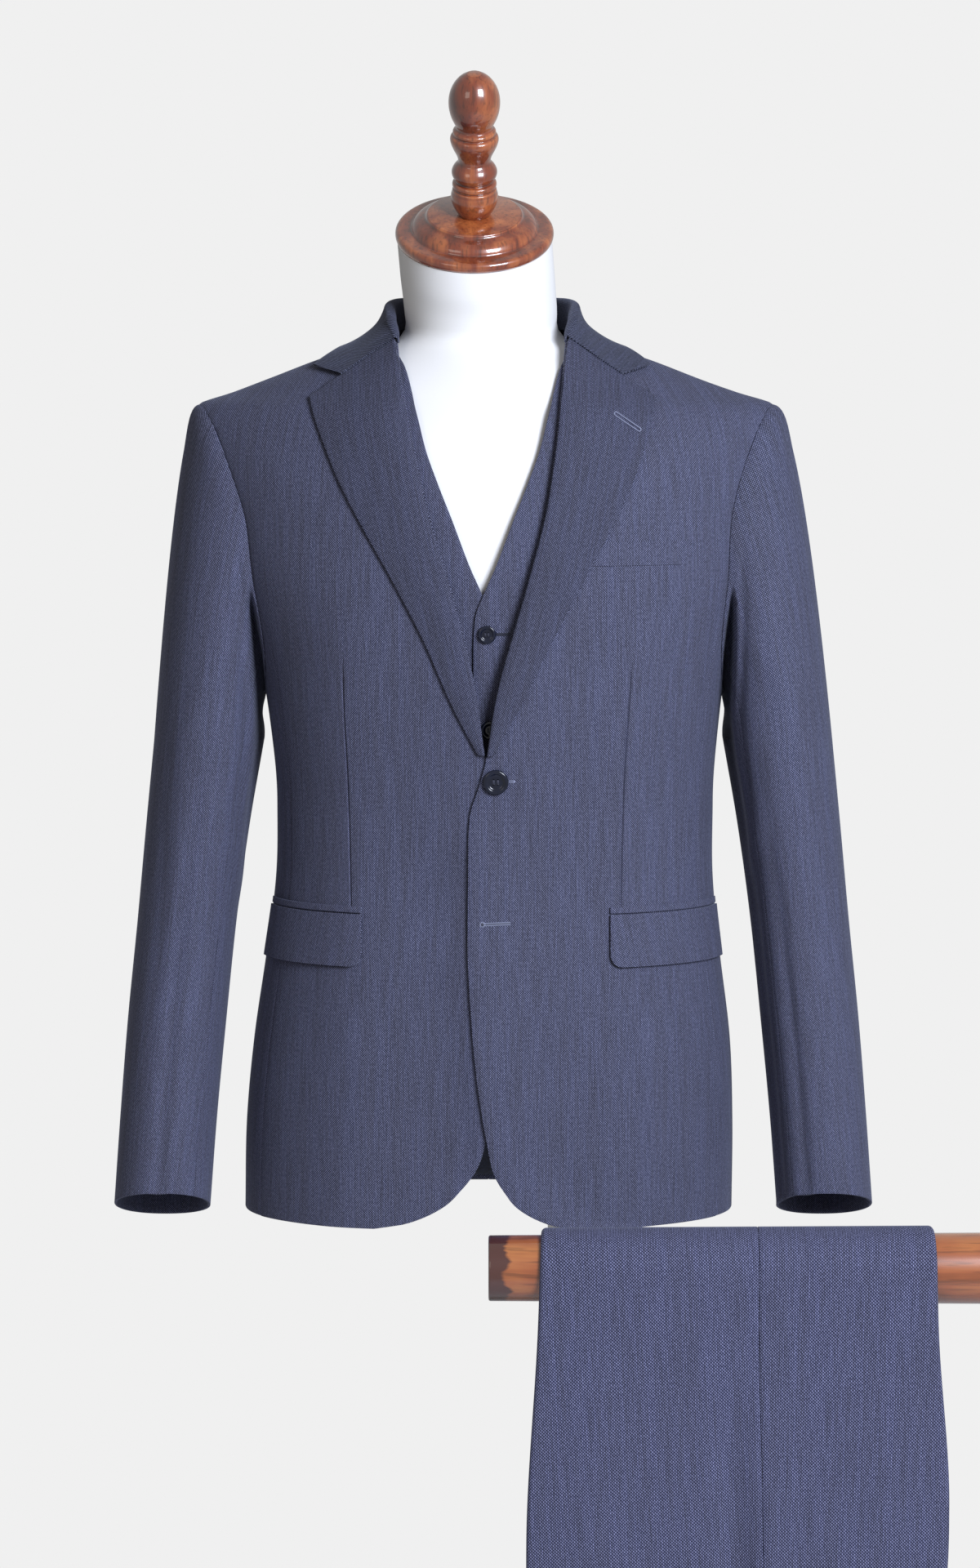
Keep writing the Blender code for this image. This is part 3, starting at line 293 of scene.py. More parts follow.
def lacquered(name, along, grain_mm, colours):
    """Stained hardwood under glossy lacquer. The figure runs along one axis of the object. Its
    colour is darker in the hollows and lighter on the ridges: painted shade and a painted
    highlight."""
    made, tree, shader = new_finish(name, Roughness=0.30, Coat_Weight=1.0, Coat_Roughness=0.06,
                                    Coat_IOR=1.60, IOR=1.5)
    spot = add_node(tree, "ShaderNodeTexCoord").outputs["Object"]
    drawn = [1000 / grain_mm / WAVE_UNITS] * 3
    drawn[along] *= GRAIN_STRETCH
    grain = add_node(tree, "ShaderNodeMapping", {"Vector": spot, "Scale": drawn}).outputs[0]
    flow = add_node(tree, "ShaderNodeTexNoise", {"Vector": grain, "Scale": 1.0, "Detail": 5.0,
                                                 "Roughness": 0.6, "Distortion": 0.5})
    pores = add_node(tree, "ShaderNodeTexNoise", {
        "Vector": grain, "Scale": PORES_PER_GRAIN}).outputs["Fac"]
    stain = add_node(tree, "ShaderNodeTexNoise", {
        "Vector": spot, "Scale": 1000 / STAIN_MM}).outputs["Fac"]
    # Painted shade and highlight: darker where the surface is hollow, lighter where it is ridged
    curvature_shade = add_node(tree, "ShaderNodeNewGeometry").outputs["Pointiness"]
    ridge = add_node(tree, "ShaderNodeMapRange", {
        "Value": curvature_shade, "From Min": HOLLOWS[0], "From Max": HOLLOWS[1],
        "To Min": RIDGE_TO[0], "To Max": RIDGE_TO[1]}).outputs["Result"]
    parts = [add_node(tree, "ShaderNodeMath", {0: noise, 1: share},
                      operation="MULTIPLY").outputs[0]
             for noise, share in ((flow.outputs["Fac"], 0.6), (stain, 0.4))]
    both = add_node(tree, "ShaderNodeMath", {0: parts[0], 1: parts[1]}).outputs[0]
    shade = add_node(tree, "ShaderNodeMath", {0: both, 1: ridge}).outputs[0]
    stain_and_curvature_shade = add_node(tree, "ShaderNodeValToRGB", {"Fac": shade})
    stops = stain_and_curvature_shade.color_ramp.elements
    stops[0].position, stops[0].color = 0.28, linear(colours[0])
    stops[1].position, stops[1].color = 0.74, linear(colours[2])
    stops.new(0.50).color = linear(colours[1])
    filled = add_node(tree, "ShaderNodeMapRange", {
        "Value": pores, "From Min": 0.34, "From Max": 0.46, "To Min": 0.62, "To Max": 1.0})
    wood = add_node(tree, "ShaderNodeMix", {
        "Factor": 1.0, "A": stain_and_curvature_shade.outputs["Color"], "B": filled.outputs["Result"]},
        data_type="RGBA", blend_type="MULTIPLY")
    tree.links.new(wood.outputs["Result"], shader.inputs["Base Color"])
    sunk = add_node(tree, "ShaderNodeBump", {"Height": pores, "Strength": 0.10,
                                             "Distance": 0.0003})
    tree.links.new(sunk.outputs["Normal"], shader.inputs["Normal"])
    return made


red_hardwood = lacquered("lacquered_red_hardwood", 2, WOOD_GRAIN_MM,
                         (WOOD_DARK, WOOD_MID, WOOD_LIGHT))
for turned_name, profile, lift, solid in (("ogee_cap", CAP_PROFILE, 0.0, "neck_cap"),
                                          ("turned_knob", FINIAL_PROFILE, 0.0130, "cap_finial")):
    wooden = turned(turned_name, rounded_profile(profile, 2), TURNING_STEPS)
    wooden.data.transform(Matrix.Translation(CAP_MIDDLE) @ CAP_TILT.to_4x4()
                          @ Matrix.Translation((0, 0, lift)))
    dress(wooden, red_hardwood, "lacquered_wood", solid)


# ---- Stand ----
# A round steel foot, a tube that carries the form, and a bent-off arm with an upright that
# holds the rod for the trousers, all welded and powder coated in one pale satin colour.

POLE_PLACE = (0.060, 0.0)
POLE_RADIUS, POST_RADIUS, ARM_RADIUS = 0.014, 0.010, 0.008
BASE_RADIUS, BASE_HEIGHT = 0.210, 0.014
POLE_TOP, FOOT_EDGE, POLE_EDGE, ARM_EDGE = 0.830, 0.003, 0.0008, 0.0006
ROD_Y, ROD_Z = -0.280, 0.752
ROD_ENDS, ROD_RADII = (-0.004, 0.475), (0.0262, 0.0288)
POST_X, ARM_HEIGHT = 0.440, 0.420
TOUCH = 0.0003
COAT_WHITE, PEEL_MM = "#E9E9E6", 2.381


def bar(name, start, end, radii, edge, steps=64):
    """Straight round bar with rolled edges, from start to end."""
    start, end = Vector(start), Vector(end)
    length = (end - start).length
    low, high = radii
    profile = [(length, 0.0), (length, high - edge)]
    profile += [(length - edge + edge * math.cos(a), high - edge + edge * math.sin(a))
                for a in spread(0.2, math.pi / 2, 5)]
    profile += [(edge - edge * math.sin(a), low - edge + edge * math.cos(a))
                for a in spread(0.0, math.pi / 2, 5)] + [(0.0, 0.0)]
    made = turned(name, profile, steps)
    made.data.transform(Matrix.Translation(start)
                        @ (end - start).to_track_quat("Z", "Y").to_matrix().to_4x4())
    return made


# Powder coat: satin, with the faint orange peel of baked powder
powder_coat, tree, shader = new_finish("powder_coated_steel", Base_Color=linear(COAT_WHITE),
                                       Roughness=0.42, Coat_Weight=0.25, Coat_Roughness=0.2)
spot = add_node(tree, "ShaderNodeTexCoord").outputs["Object"]
peel = add_node(tree, "ShaderNodeTexNoise", {"Vector": spot, "Scale": 1000 / PEEL_MM}).outputs
dimpled = add_node(tree, "ShaderNodeBump", {"Height": peel["Fac"], "Strength": 0.12,
                                            "Distance": 0.0003})
tree.links.new(dimpled.outputs["Normal"], shader.inputs["Normal"])
gloss = add_node(tree, "ShaderNodeMapRange", {"Value": peel["Fac"], "To Min": 0.34,
                                              "To Max": 0.50})
tree.links.new(gloss.outputs["Result"], shader.inputs["Roughness"])

foot = Vector((*POLE_PLACE, 0.0))
arm_start, arm_end = Vector((*POLE_PLACE, ARM_HEIGHT)), Vector((POST_X, ROD_Y, ARM_HEIGHT))
arm_way = (arm_end - arm_start).normalized()
for steel, solid in (
        (bar("steel_foot", foot, foot + Vector((0, 0, BASE_HEIGHT)), (BASE_RADIUS,) * 2,
             FOOT_EDGE, 160), "stand_base"),
        (bar("steel_pole", foot + Vector((0, 0, BASE_HEIGHT + TOUCH)),
             foot + Vector((0, 0, POLE_TOP - TOUCH)), (POLE_RADIUS,) * 2, POLE_EDGE),
         "stand_pole"),
        (bar("steel_arm", arm_start + arm_way * (POLE_RADIUS + TOUCH),
             arm_end - arm_way * (POST_RADIUS + TOUCH), (ARM_RADIUS,) * 2, ARM_EDGE), "rod_arm"),
        (bar("steel_post", (POST_X, ROD_Y, ARM_HEIGHT - POST_RADIUS),
             (POST_X, ROD_Y, ROD_Z - ROD_RADII[1] - TOUCH), (POST_RADIUS,) * 2, POLE_EDGE),
         "rod_post")):
    dress(steel, powder_coat, "painted_steel", solid)


# ---- Waistcoat ----
# Two fronts of the suit's cloth and a back, sewn at the shoulders and sides, worn just inside
# the jacket. Only the V neck and the closing line show. The fronts button left over right.

# The figure that the clothes make: level sections, from the hem up to the neck
FIGURE = {
    "columns": ("height", "half", "front", "back", "power", "sway"),
    "rows": (
        (0.757, 0.2050, 0.134, 0.128, 2.30, -0.0040),
        (0.830, 0.2045, 0.132, 0.130, 2.30, -0.0030),
        (0.900, 0.2000, 0.129, 0.127, 2.30, -0.0010),
        (0.975, 0.1900, 0.123, 0.116, 2.30, 0.0000),
        (1.040, 0.1830, 0.117, 0.104, 2.30, 0.0010),
        (1.100, 0.1825, 0.118, 0.104, 2.30, 0.0015),
        (1.165, 0.1875, 0.125, 0.112, 2.30, 0.0010),
        (1.220, 0.1960, 0.131, 0.120, 2.20, 0.0000),
        (1.280, 0.2120, 0.133, 0.125, 2.20, -0.0020),
        (1.340, 0.2270, 0.127, 0.126, 2.00, -0.0040),
        (1.385, 0.2420, 0.118, 0.122, 1.80, -0.0055),
        (1.415, 0.2490, 0.110, 0.114, 1.55, -0.0055),
        (1.431, 0.2400, 0.105, 0.108, 1.40, -0.0060),
        (1.441, 0.2100, 0.101, 0.104, 1.35, -0.0070),
        (1.452, 0.1800, 0.096, 0.099, 1.35, -0.0080),
        (1.466, 0.1440, 0.090, 0.092, 1.40, -0.0080),
        (1.480, 0.1055, 0.083, 0.083, 1.60, -0.0090),
        (1.500, 0.0770, 0.075, 0.072, 2.00, -0.0100),
    ),
}
HEM_HEIGHT, TOP_HEIGHT = 0.757, 1.500
SEAM = 0.00012
WAISTCOAT_CLOTH = 0.0015
WAISTCOAT_MIDDLE = -0.0087
WAISTCOAT_UNDER_JACKET, WAISTCOAT_WAIST, WAISTCOAT_LAP = 0.0031, 0.0040, 0.0026
WAISTCOAT_WAIST_TOP, WAISTCOAT_HEIGHTS = (1.180, 1.330), (0.940, 1.486)
LAP_BLEND = (0.030, 0.100)
WAISTCOAT_NECK = {
    "columns": ("height", "away"),
    "rows": ((0.940, -0.0080), (1.200, -0.0080), (1.260, -0.0065), (1.280, 0.0005),
             (1.304, 0.0110), (1.340, 0.0248), (1.367, 0.0356), (1.397, 0.0467),
             (1.4285, 0.0550), (1.468, 0.0665), (1.486, 0.0800)),
}
WAISTCOAT_ARMHOLE = {
    "columns": ("height", "turn"),
    "rows": ((0.940, 0.0), (1.150, 0.0), (1.170, 18.0), (1.200, 35.0), (1.250, 45.0),
             (1.300, 48.0), (1.360, 50.0), (1.420, 46.0), (1.450, 28.0), (1.464, 3.0),
             (1.470, 0.0), (1.486, 0.0)),
}
# Worsted yarns: a dark navy ground, a little uneven, with pale grey-lilac eyes. The real eyes
# are about 1.5 mm apart; they are drawn wider apart, as far as the photograph shows them.
NAVY_YARN, SLATE_YARN, LILAC_EYE = "#161A31", "#1D1D2B", "#9497B5"
EYE_MM, TROUSER_EYE_MM, YARN_WOBBLE = 1.95, 2.4, 0.0008


def ramp(low, high, at):
    """0 below low, 1 above high, smooth between."""
    t = min(max((at - low) / (high - low), 0.0), 1.0)
    return t * t * (3 - 2 * t)


def hump(at, middle, width):
    """1 at the middle of a soft ridge or trough, falling to 0 at either side."""
    return math.exp(-((at - middle) / width) ** 2)


def mix(a, b, t):
    return a + (b - a) * t


def figure(height, turn, side, out=0.0):
    """Point on the jacket's outer surface, moved out along its normal."""
    point = on_section(FIGURE, height, turn, side)
    if not out:
        return point
    around = on_section(FIGURE, height, turn + 1.5, side) - on_section(
        FIGURE, height, turn - 1.5, side)
    above, below = min(height + 0.003, TOP_HEIGHT), max(height - 0.003, HEM_HEIGHT)
    up = on_section(FIGURE, above, turn, side) - on_section(FIGURE, below, turn, side)
    return point + around.cross(up).normalized() * side * out


def turn_at(height, x, side):
    """Turn of the front surface at a place X."""
    power = blend_along(FIGURE, "power", height)
    local = side * (x - blend_along(FIGURE, "sway", height))
    c = min(max(local / blend_along(FIGURE, "half", height), -1.0), 1.0)
    return -math.degrees(math.acos(math.copysign(abs(c) ** (power / 2), c)))


def past_seam(height, turn, towards):
    """Turn that lies just off a seam, towards another turn."""
    start = on_section(FIGURE, height, turn, 1)
    near, far = 0.0, 4.0
    for _ in range(14):
        middle = (near + far) / 2
        step = math.copysign(middle, towards - turn)
        if (on_section(FIGURE, height, turn + step, 1) - start).length < SEAM:
            near = middle
        else:
            far = middle
    return turn + math.copysign(far, towards - turn)


def side_name(side):
    return "left" if side > 0 else "right"


def worsted(name, eye_mm, yarns=(NAVY_YARN, SLATE_YARN, LILAC_EYE), lean=0.04, light=1.0,
            turned_by=0.0):
    """Birdseye worsted on the cut's own grain, or turned from it: eyes on a staggered grid,
    a little stronger along the twill's slope, over a ground of slightly uneven yarns."""
    made, tree, shader = new_finish(name, Roughness=0.80, Sheen_Weight=0.16,
                                    Sheen_Roughness=0.42, Sheen_Tint=(0.72, 0.78, 1.0, 1.0),
                                    Specular_IOR_Level=0.12)
    laid = add_node(tree, "ShaderNodeUVMap", uv_map="grain").outputs["UV"]
    cut = add_node(tree, "ShaderNodeMapping", {
        "Vector": laid, "Rotation": (0, 0, math.radians(turned_by))}).outputs["Vector"]

    # Uneven yarns: how wide and how long each kind is, in mm, and its detail
    uneven = {}
    for kind, wide, long, detail in (
            ("wobble", 8.333, 8.333, 2.0), ("streak", 1.6129, 41.667, 3.0),
            ("band", 9.0909, 200.0, 2.0), ("speck", 2.0, 2.381, 1.0)):
        place = add_node(tree, "ShaderNodeMapping", {
            "Vector": cut, "Scale": (1000 / wide, 1000 / long, 1.0)})
        uneven[kind] = add_node(tree, "ShaderNodeTexNoise", {
            "Vector": place.outputs["Vector"], "Scale": 1.0, "Detail": detail},
            noise_dimensions="2D").outputs
    streak, band, speck = (uneven[kind]["Fac"] for kind in ("streak", "band", "speck"))
    wobble = add_node(tree, "ShaderNodeVectorMath", {
        0: uneven["wobble"]["Color"], 1: (YARN_WOBBLE, YARN_WOBBLE, 0.0)}, operation="MULTIPLY")
    moved = add_node(tree, "ShaderNodeVectorMath", {0: cut, 1: wobble.outputs["Vector"]})
    ends = add_node(tree, "ShaderNodeSeparateXYZ", {"Vector": moved.outputs["Vector"]}).outputs

    # The eyes stand where waves along both slopes and across the cloth meet
    weave = None
    for along, way, share in (("Y", "ADD", 0.34 + lean), ("Y", "SUBTRACT", 0.34 - lean),
                              ("X", "ADD", 0.32)):
        wave = ends["X"]
        for operation, value in ((way, ends[along]), ("MULTIPLY", math.tau * 1000 / eye_mm),
                                 ("COSINE", 0.0), ("MULTIPLY", share)):
            wave = add_node(tree, "ShaderNodeMath", {0: wave, 1: value},
                            operation=operation).outputs[0]
        weave = wave if weave is None else add_node(
            tree, "ShaderNodeMath", {0: weave, 1: wave}).outputs[0]
    yarn = add_node(tree, "ShaderNodeMath", {0: streak, 1: band}).outputs[0]

    # What each reads, from which value to which, and what those become
    # light below 1 makes the whole cloth darker: painted shade, for copies of the cloth on shaded
    # pieces
    shown = {}
    for part, value, low, high, to_low, to_high in (
            ("eye", weave, -0.40, 0.95, 0.0, 1.0), ("speck", speck, 0.3, 0.7, 0.60, 1.0),
            ("slate", yarn, 0.80, 1.20, 0.0, 1.0), ("streak", streak, 0.25, 0.75, 1.20, 0.80),
            ("band", band, 0.3, 0.7, 1.07 * light, 0.93 * light)):
        shown[part] = add_node(tree, "ShaderNodeMapRange", {
            "Value": value, "From Min": low, "From Max": high, "To Min": to_low,
            "To Max": to_high}).outputs["Result"]
    eyes, shade = (add_node(tree, "ShaderNodeMath", {0: shown[a], 1: shown[b]},
                            operation="MULTIPLY").outputs[0]
                   for a, b in (("eye", "speck"), ("streak", "band")))
    cloth = linear(yarns[0])
    for share, colour, way in ((shown["slate"], linear(yarns[1]), "MIX"),
                               (eyes, linear(yarns[2]), "MIX"), (1.0, shade, "MULTIPLY")):
        cloth = add_node(tree, "ShaderNodeMix", {"Factor": share, "A": cloth, "B": colour},
                         data_type="RGBA", blend_type=way).outputs["Result"]
    tree.links.new(cloth, shader.inputs["Base Color"])
    relief = add_node(tree, "ShaderNodeMath", {0: weave, 1: streak})
    woven = add_node(tree, "ShaderNodeBump", {"Height": relief.outputs[0], "Strength": 0.25,
                                              "Distance": 0.00015})
    tree.links.new(woven.outputs["Normal"], shader.inputs["Normal"])
    return made


suiting = worsted("birdseye_worsted", EYE_MM)


def lay_grain(piece, columns, rows, bias):
    """Unfolds the outer face flat, as its paper pattern, in metres, with the warp up.
    Returns the flat width, length and area."""
    mesh = piece.data
    bpy.context.view_layer.objects.active = piece
    piece.select_set(True)
    mesh.uv_layers.new(name="grain")
    bpy.ops.object.mode_set(mode="EDIT")
    bpy.ops.mesh.select_all(action="SELECT")
    bpy.ops.uv.unwrap(method="CONFORMAL", margin=0.0)
    bpy.ops.object.mode_set(mode="OBJECT")
    piece.select_set(False)
    count = len(mesh.loops)
    flat = np.empty(count * 2, np.float32)
    mesh.uv_layers["grain"].uv.foreach_get("vector", flat)
    flat = flat.reshape(-1, 2).astype(float)
    ends = np.empty(count, np.int32)
    mesh.loops.foreach_get("vertex_index", ends)
    points = np.empty(len(mesh.vertices) * 3, np.float32)
    mesh.vertices.foreach_get("co", points)
    points = points.reshape(-1, 3).astype(float)
    at = np.empty((len(points), 2))
    at[ends] = flat
    grid, laid = points.reshape(rows, columns, 3), at.reshape(rows, columns, 2)
    true = sum(np.linalg.norm(np.diff(grid, axis=a), axis=2).sum() for a in (0, 1))
    drawn = sum(np.linalg.norm(np.diff(laid, axis=a), axis=2).sum() for a in (0, 1))
    warp = (laid[-1] - laid[0]).mean(0) if abs(bias) < 90 else laid[-1, 0] - laid[0, 0]
    rise = (grid[-1] - grid[0]).mean(0)[2]
    lean = math.atan2(warp[0], warp[1]) + math.radians(bias) + (math.pi if rise < 0 else 0)
    turn = np.array([[math.cos(lean), -math.sin(lean)], [math.sin(lean), math.cos(lean)]])
    flat = (flat - flat.mean(0)) @ turn.T * (true / drawn)
    mesh.uv_layers["grain"].uv.foreach_set("vector", flat.astype(np.float32).ravel())
    width, length = flat.max(0) - flat.min(0)
    cells = np.cross(grid[1:, 1:] - grid[:-1, :-1], grid[1:, :-1] - grid[:-1, 1:])
    area = np.linalg.norm(cells, axis=2).sum() / 2
    return round(float(width), 3), round(float(length), 3), float(area)


LEAST_CUT, RIM = 0.010, 0.45
flat_sizes = {}


def tailored(name, across, along, place, wall, node, flip=False, bias=0.0,
             rim=RIM, cut_to=None, finish=suiting, slot="suiting"):
    """One cut piece of cloth: its outer face through place(u, v), its thickness inside, soft
    pressed edges, and its grain laid from the flat pattern. Where it hangs in a deep tuck, the
    pattern is that of cut_to(u, v), its face without the tuck."""
    shape = bmesh.new()
    grid = [[shape.verts.new((cut_to or place)(u, v)) for u in across] for v in along]
    for row, above in zip(grid, grid[1:]):
        for i in range(len(across) - 1):
            corners = (row[i], row[i + 1], above[i + 1], above[i])
            shape.faces.new(corners[::-1] if flip else corners)
    made = piece_from(shape, name)
    width, length, area = lay_grain(made, len(across), len(along), bias)
    length = max(length, LEAST_CUT)
    if cut_to:
        for vertex, (v, u) in zip(made.data.vertices, product(along, across)):
            vertex.co = place(u, v)
    body = made.modifiers.new("Thickness", "SOLIDIFY")
    body.thickness, body.offset, body.use_even_offset = wall, -1, False
    soft = made.modifiers.new("Pressed edge", "BEVEL")
    soft.width, soft.segments, soft.limit_method = wall * rim, 2, "ANGLE"
    soft.angle_limit = math.radians(60)
    dress(made, finish, slot, node)
    flat_sizes[name] = (width, length, round(area, 4))
    return made


def waistcoat_in(height):
    """How far the waistcoat lies inside the jacket; it follows the waist more closely."""
    return WAISTCOAT_UNDER_JACKET + WAISTCOAT_WAIST * (1 - ramp(*WAISTCOAT_WAIST_TOP, height))


def waistcoat_out(x, height, side):
    near = abs(x - WAISTCOAT_MIDDLE)
    lap = WAISTCOAT_LAP * (1 - ramp(*LAP_BLEND, near)) if side < 0 else 0.0
    return -waistcoat_in(height) - lap


def waistcoat_front_point(side):
    def place(share, height):
        inner = turn_at(height, WAISTCOAT_MIDDLE + side * blend_along(
            WAISTCOAT_NECK, "away", height), side)
        outer = past_seam(height, -blend_along(WAISTCOAT_ARMHOLE, "turn", height), -90)
        turn = mix(inner, outer, share)
        x = on_section(FIGURE, height, turn, side).x
        return figure(height, turn, side, waistcoat_out(x, height, side))
    return place


def waistcoat_back_point(share, height):
    reach = 90 - past_seam(height, blend_along(WAISTCOAT_ARMHOLE, "turn", height), 90)
    offset = mix(-reach, reach, share)
    return figure(height, 90 - abs(offset), 1 if offset >= 0 else -1, -waistcoat_in(height))


waistcoat_heights = spread(*WAISTCOAT_HEIGHTS, 90)
for side in (1, -1):
    tailored("waistcoat_front_panel_" + side_name(side), spread(0, 1, 34), waistcoat_heights,
             waistcoat_front_point(side), WAISTCOAT_CLOTH, "waistcoat_front_" + side_name(side),
             flip=side < 0)
tailored("waistcoat_back_panel", spread(0, 1, 50), waistcoat_heights, waistcoat_back_point,
         WAISTCOAT_CLOTH, "waistcoat_back", flip=True)


# ---- Jacket body ----
# Backs, side panels and fronts of birdseye worsted, cut to shape and seamed. The fronts are
# fused, so they stay smooth, with one dart each, a cutaway hem and the left lapped over.

JACKET_CLOTH, FRONT_LAP = 0.0020, 0.0030
ARMHOLE_LOW, ARMHOLE_HIGH = 1.190, 1.431
ARMHOLE_FRONT, ARMHOLE_BACK = 0.061, 0.066
SIDE_FRONT_TURN, SIDE_BACK_TURN = 24.0, 27.0
NECKLINE_HEIGHT = 1.486
EASE = {"height": 1.130, "depth": 0.0045, "tall": 0.090, "wide": 0.060}
FRONT_MIDDLE = {
    "columns": ("height", "middle"),
    "rows": ((0.757, -0.013), (0.790, -0.009), (0.830, -0.006), (1.160, -0.006),
             (1.280, -0.004), (1.375, -0.006), (1.485, -0.010), (1.500, -0.010)),
}
# Each front's edge, as its distance from that middle line: cutaway, lap, then roll line
FRONT_EDGE = {
    "columns": ("height", "away"),
    "rows": ((0.757, 0.0850), (0.762, 0.0587), (0.775, 0.0320), (0.790, 0.0176),
             (0.805, 0.0077), (0.824, 0.0020), (0.877, -0.0067), (0.933, -0.0120),
             (0.990, -0.0147), (1.050, -0.0143), (1.100, -0.0127), (1.122, -0.0060),
             (1.145, 0.0000), (1.200, 0.0085), (1.245, 0.0195), (1.293, 0.0330),
             (1.345, 0.0475), (1.400, 0.0580), (1.453, 0.0660), (1.485, 0.0700),
             (1.500, 0.0740)),
}
# The front dart: a sewn line from the chest down to the pocket, as its distance away
DART = {
    "columns": ("height", "away"),
    "rows": ((0.757, 0.1150), (1.010, 0.1100), (1.120, 0.1120), (1.210, 0.1165),
             (1.350, 0.1200), (1.500, 0.1000)),
}
DART_DEPTH, DART_HALF = 0.0016, 0.0007
DART_LOW, DART_HIGH = (1.015, 1.022), (1.205, 1.235)
SWELL, SWELL_HALF, SWELL_TOP = 0.0036, 0.032, (1.220, 1.320)
RIDGE, RIDGE_REACH, RIDGE_TOP, RIDGE_CURVE = 0.0055, (0.040, 0.060), (1.060, 1.105), 2.5
# The dart stays within these shares of a row, and the columns crowd round it
DART_WITHIN, DART_SPAN, DART_COLUMNS, DART_CLEAR = (0.25, 0.75), 0.20, 0.0016, 0.014


def front_ease(x, height):
    """How far both fronts stand off the waistcoat round the closing button."""
    tall = (height - EASE["height"]) / EASE["tall"]
    wide = (x - blend_along(FRONT_MIDDLE, "middle", height)) / EASE["wide"]
    return EASE["depth"] * math.exp(-tall ** 2 - wide ** 2)


def front_x(height, away, side):
    return blend_along(FRONT_MIDDLE, "middle", height) + side * away


def front_swell(x, height, side):
    """The cloth turns a little more sharply along the dart, where it is shaped."""
    dart = front_x(height, blend_along(DART, "away", height), side)
    return SWELL * hump(x, dart, SWELL_HALF) * (1 - ramp(*SWELL_TOP, height))


def closing_ridge(x, height):
    """Below the button both fronts rise softly towards the line where they close."""
    away = x - front_x(height, blend_along(FRONT_EDGE, "away", height), 1)
    if away < 0:
        rise = max(1 + away / RIDGE_REACH[0], 0.0) ** RIDGE_CURVE
    else:
        rise = 1 - ramp(0.0, RIDGE_REACH[1], away)
    return RIDGE * rise * (1 - ramp(*RIDGE_TOP, height))


def jacket_front_out(x, height, side):
    """The wearer's left front laps over the right one near the middle."""
    near = abs(x - blend_along(FRONT_MIDDLE, "middle", height))
    lap = FRONT_LAP * (1 - ramp(*LAP_BLEND, near)) if side > 0 else 0.0
    return (lap + front_ease(x, height) + front_swell(x, height, side)
            + closing_ridge(x, height))


def on_front(x, height, side, out=0.0):
    """Point on a jacket front at a place X and a height, moved out."""
    return figure(height, turn_at(height, x, side), side,
                  out + jacket_front_out(x, height, side))


def armhole_turn(height, reach, depth_name):
    """Turn, away from the side line, at which the armhole cuts a section."""
    middle, half = (ARMHOLE_LOW + ARMHOLE_HIGH) / 2, (ARMHOLE_HIGH - ARMHOLE_LOW) / 2
    reach = reach * math.sqrt(max(1 - ((height - middle) / half) ** 2, 0.0))
    share = reach / blend_along(FIGURE, depth_name, height)
    return math.degrees(math.asin(share ** (blend_along(FIGURE, "power", height) / 2)))


def outer_turn(height, reach, depth_name, side_seam):
    """Turn of the outer boundary of a front or back: side seam, armhole, then ridge."""
    if height >= ARMHOLE_HIGH:
        return 0.0
    if height <= ARMHOLE_LOW:
        return side_seam
    cut = armhole_turn(height, reach, depth_name)
    return max(cut, side_seam) if height < (ARMHOLE_LOW + ARMHOLE_HIGH) / 2 else cut


def back_point(side):
    def place(share, height):
        outer = past_seam(height, outer_turn(height, ARMHOLE_BACK, "back", SIDE_BACK_TURN), 90)
        return figure(height, mix(outer, 90, share), side)
    return place


def front_point(side):
    """The dart lies at share 0.5 of every row, with the columns crowded round it."""
    def place(share, height):
        outer = past_seam(height, -outer_turn(height, ARMHOLE_FRONT, "front",
                                              SIDE_FRONT_TURN), -90)
        inner = turn_at(height, front_x(height, blend_along(FRONT_EDGE, "away", height),
                                        side), side)
        dart = turn_at(height, front_x(height, blend_along(DART, "away", height), side), side)
        nearest, farthest = (mix(inner, outer, limit) for limit in DART_WITHIN)
        dart = min(max(dart, nearest), farthest)
        turn = mix(inner, dart, share * 2) if share < 0.5 else mix(dart, outer, share * 2 - 1)
        x = on_section(FIGURE, height, turn, side).x
        sewn = ramp(*DART_LOW, height) * (1 - ramp(*DART_HIGH, height))
        groove = sewn * DART_DEPTH * hump((share - 0.5) * DART_SPAN, 0.0, DART_HALF)
        return figure(height, turn, side, jacket_front_out(x, height, side) - groove + 1e-6)
    return place


def side_panel_point(side):
    def top_of(turn):
        low, high = ARMHOLE_LOW, (ARMHOLE_LOW + ARMHOLE_HIGH) / 2
        reach, name = (ARMHOLE_FRONT, "front") if turn < 0 else (ARMHOLE_BACK, "back")
        for _ in range(24):
            middle = (low + high) / 2
            low, high = ((middle, high) if armhole_turn(middle, reach, name) < abs(turn)
                         else (low, middle))
        return low

    tops = {turn: top_of(turn) for turn in side_turns}

    def place(turn, share):
        height = mix(HEM_HEIGHT, tops[turn], share)
        front_edge = past_seam(height, -SIDE_FRONT_TURN, 0)
        back_edge = past_seam(height, SIDE_BACK_TURN, 0)
        share_round = (turn + SIDE_FRONT_TURN) / (SIDE_FRONT_TURN + SIDE_BACK_TURN)
        return figure(height, mix(front_edge, back_edge, share_round), side)
    return place


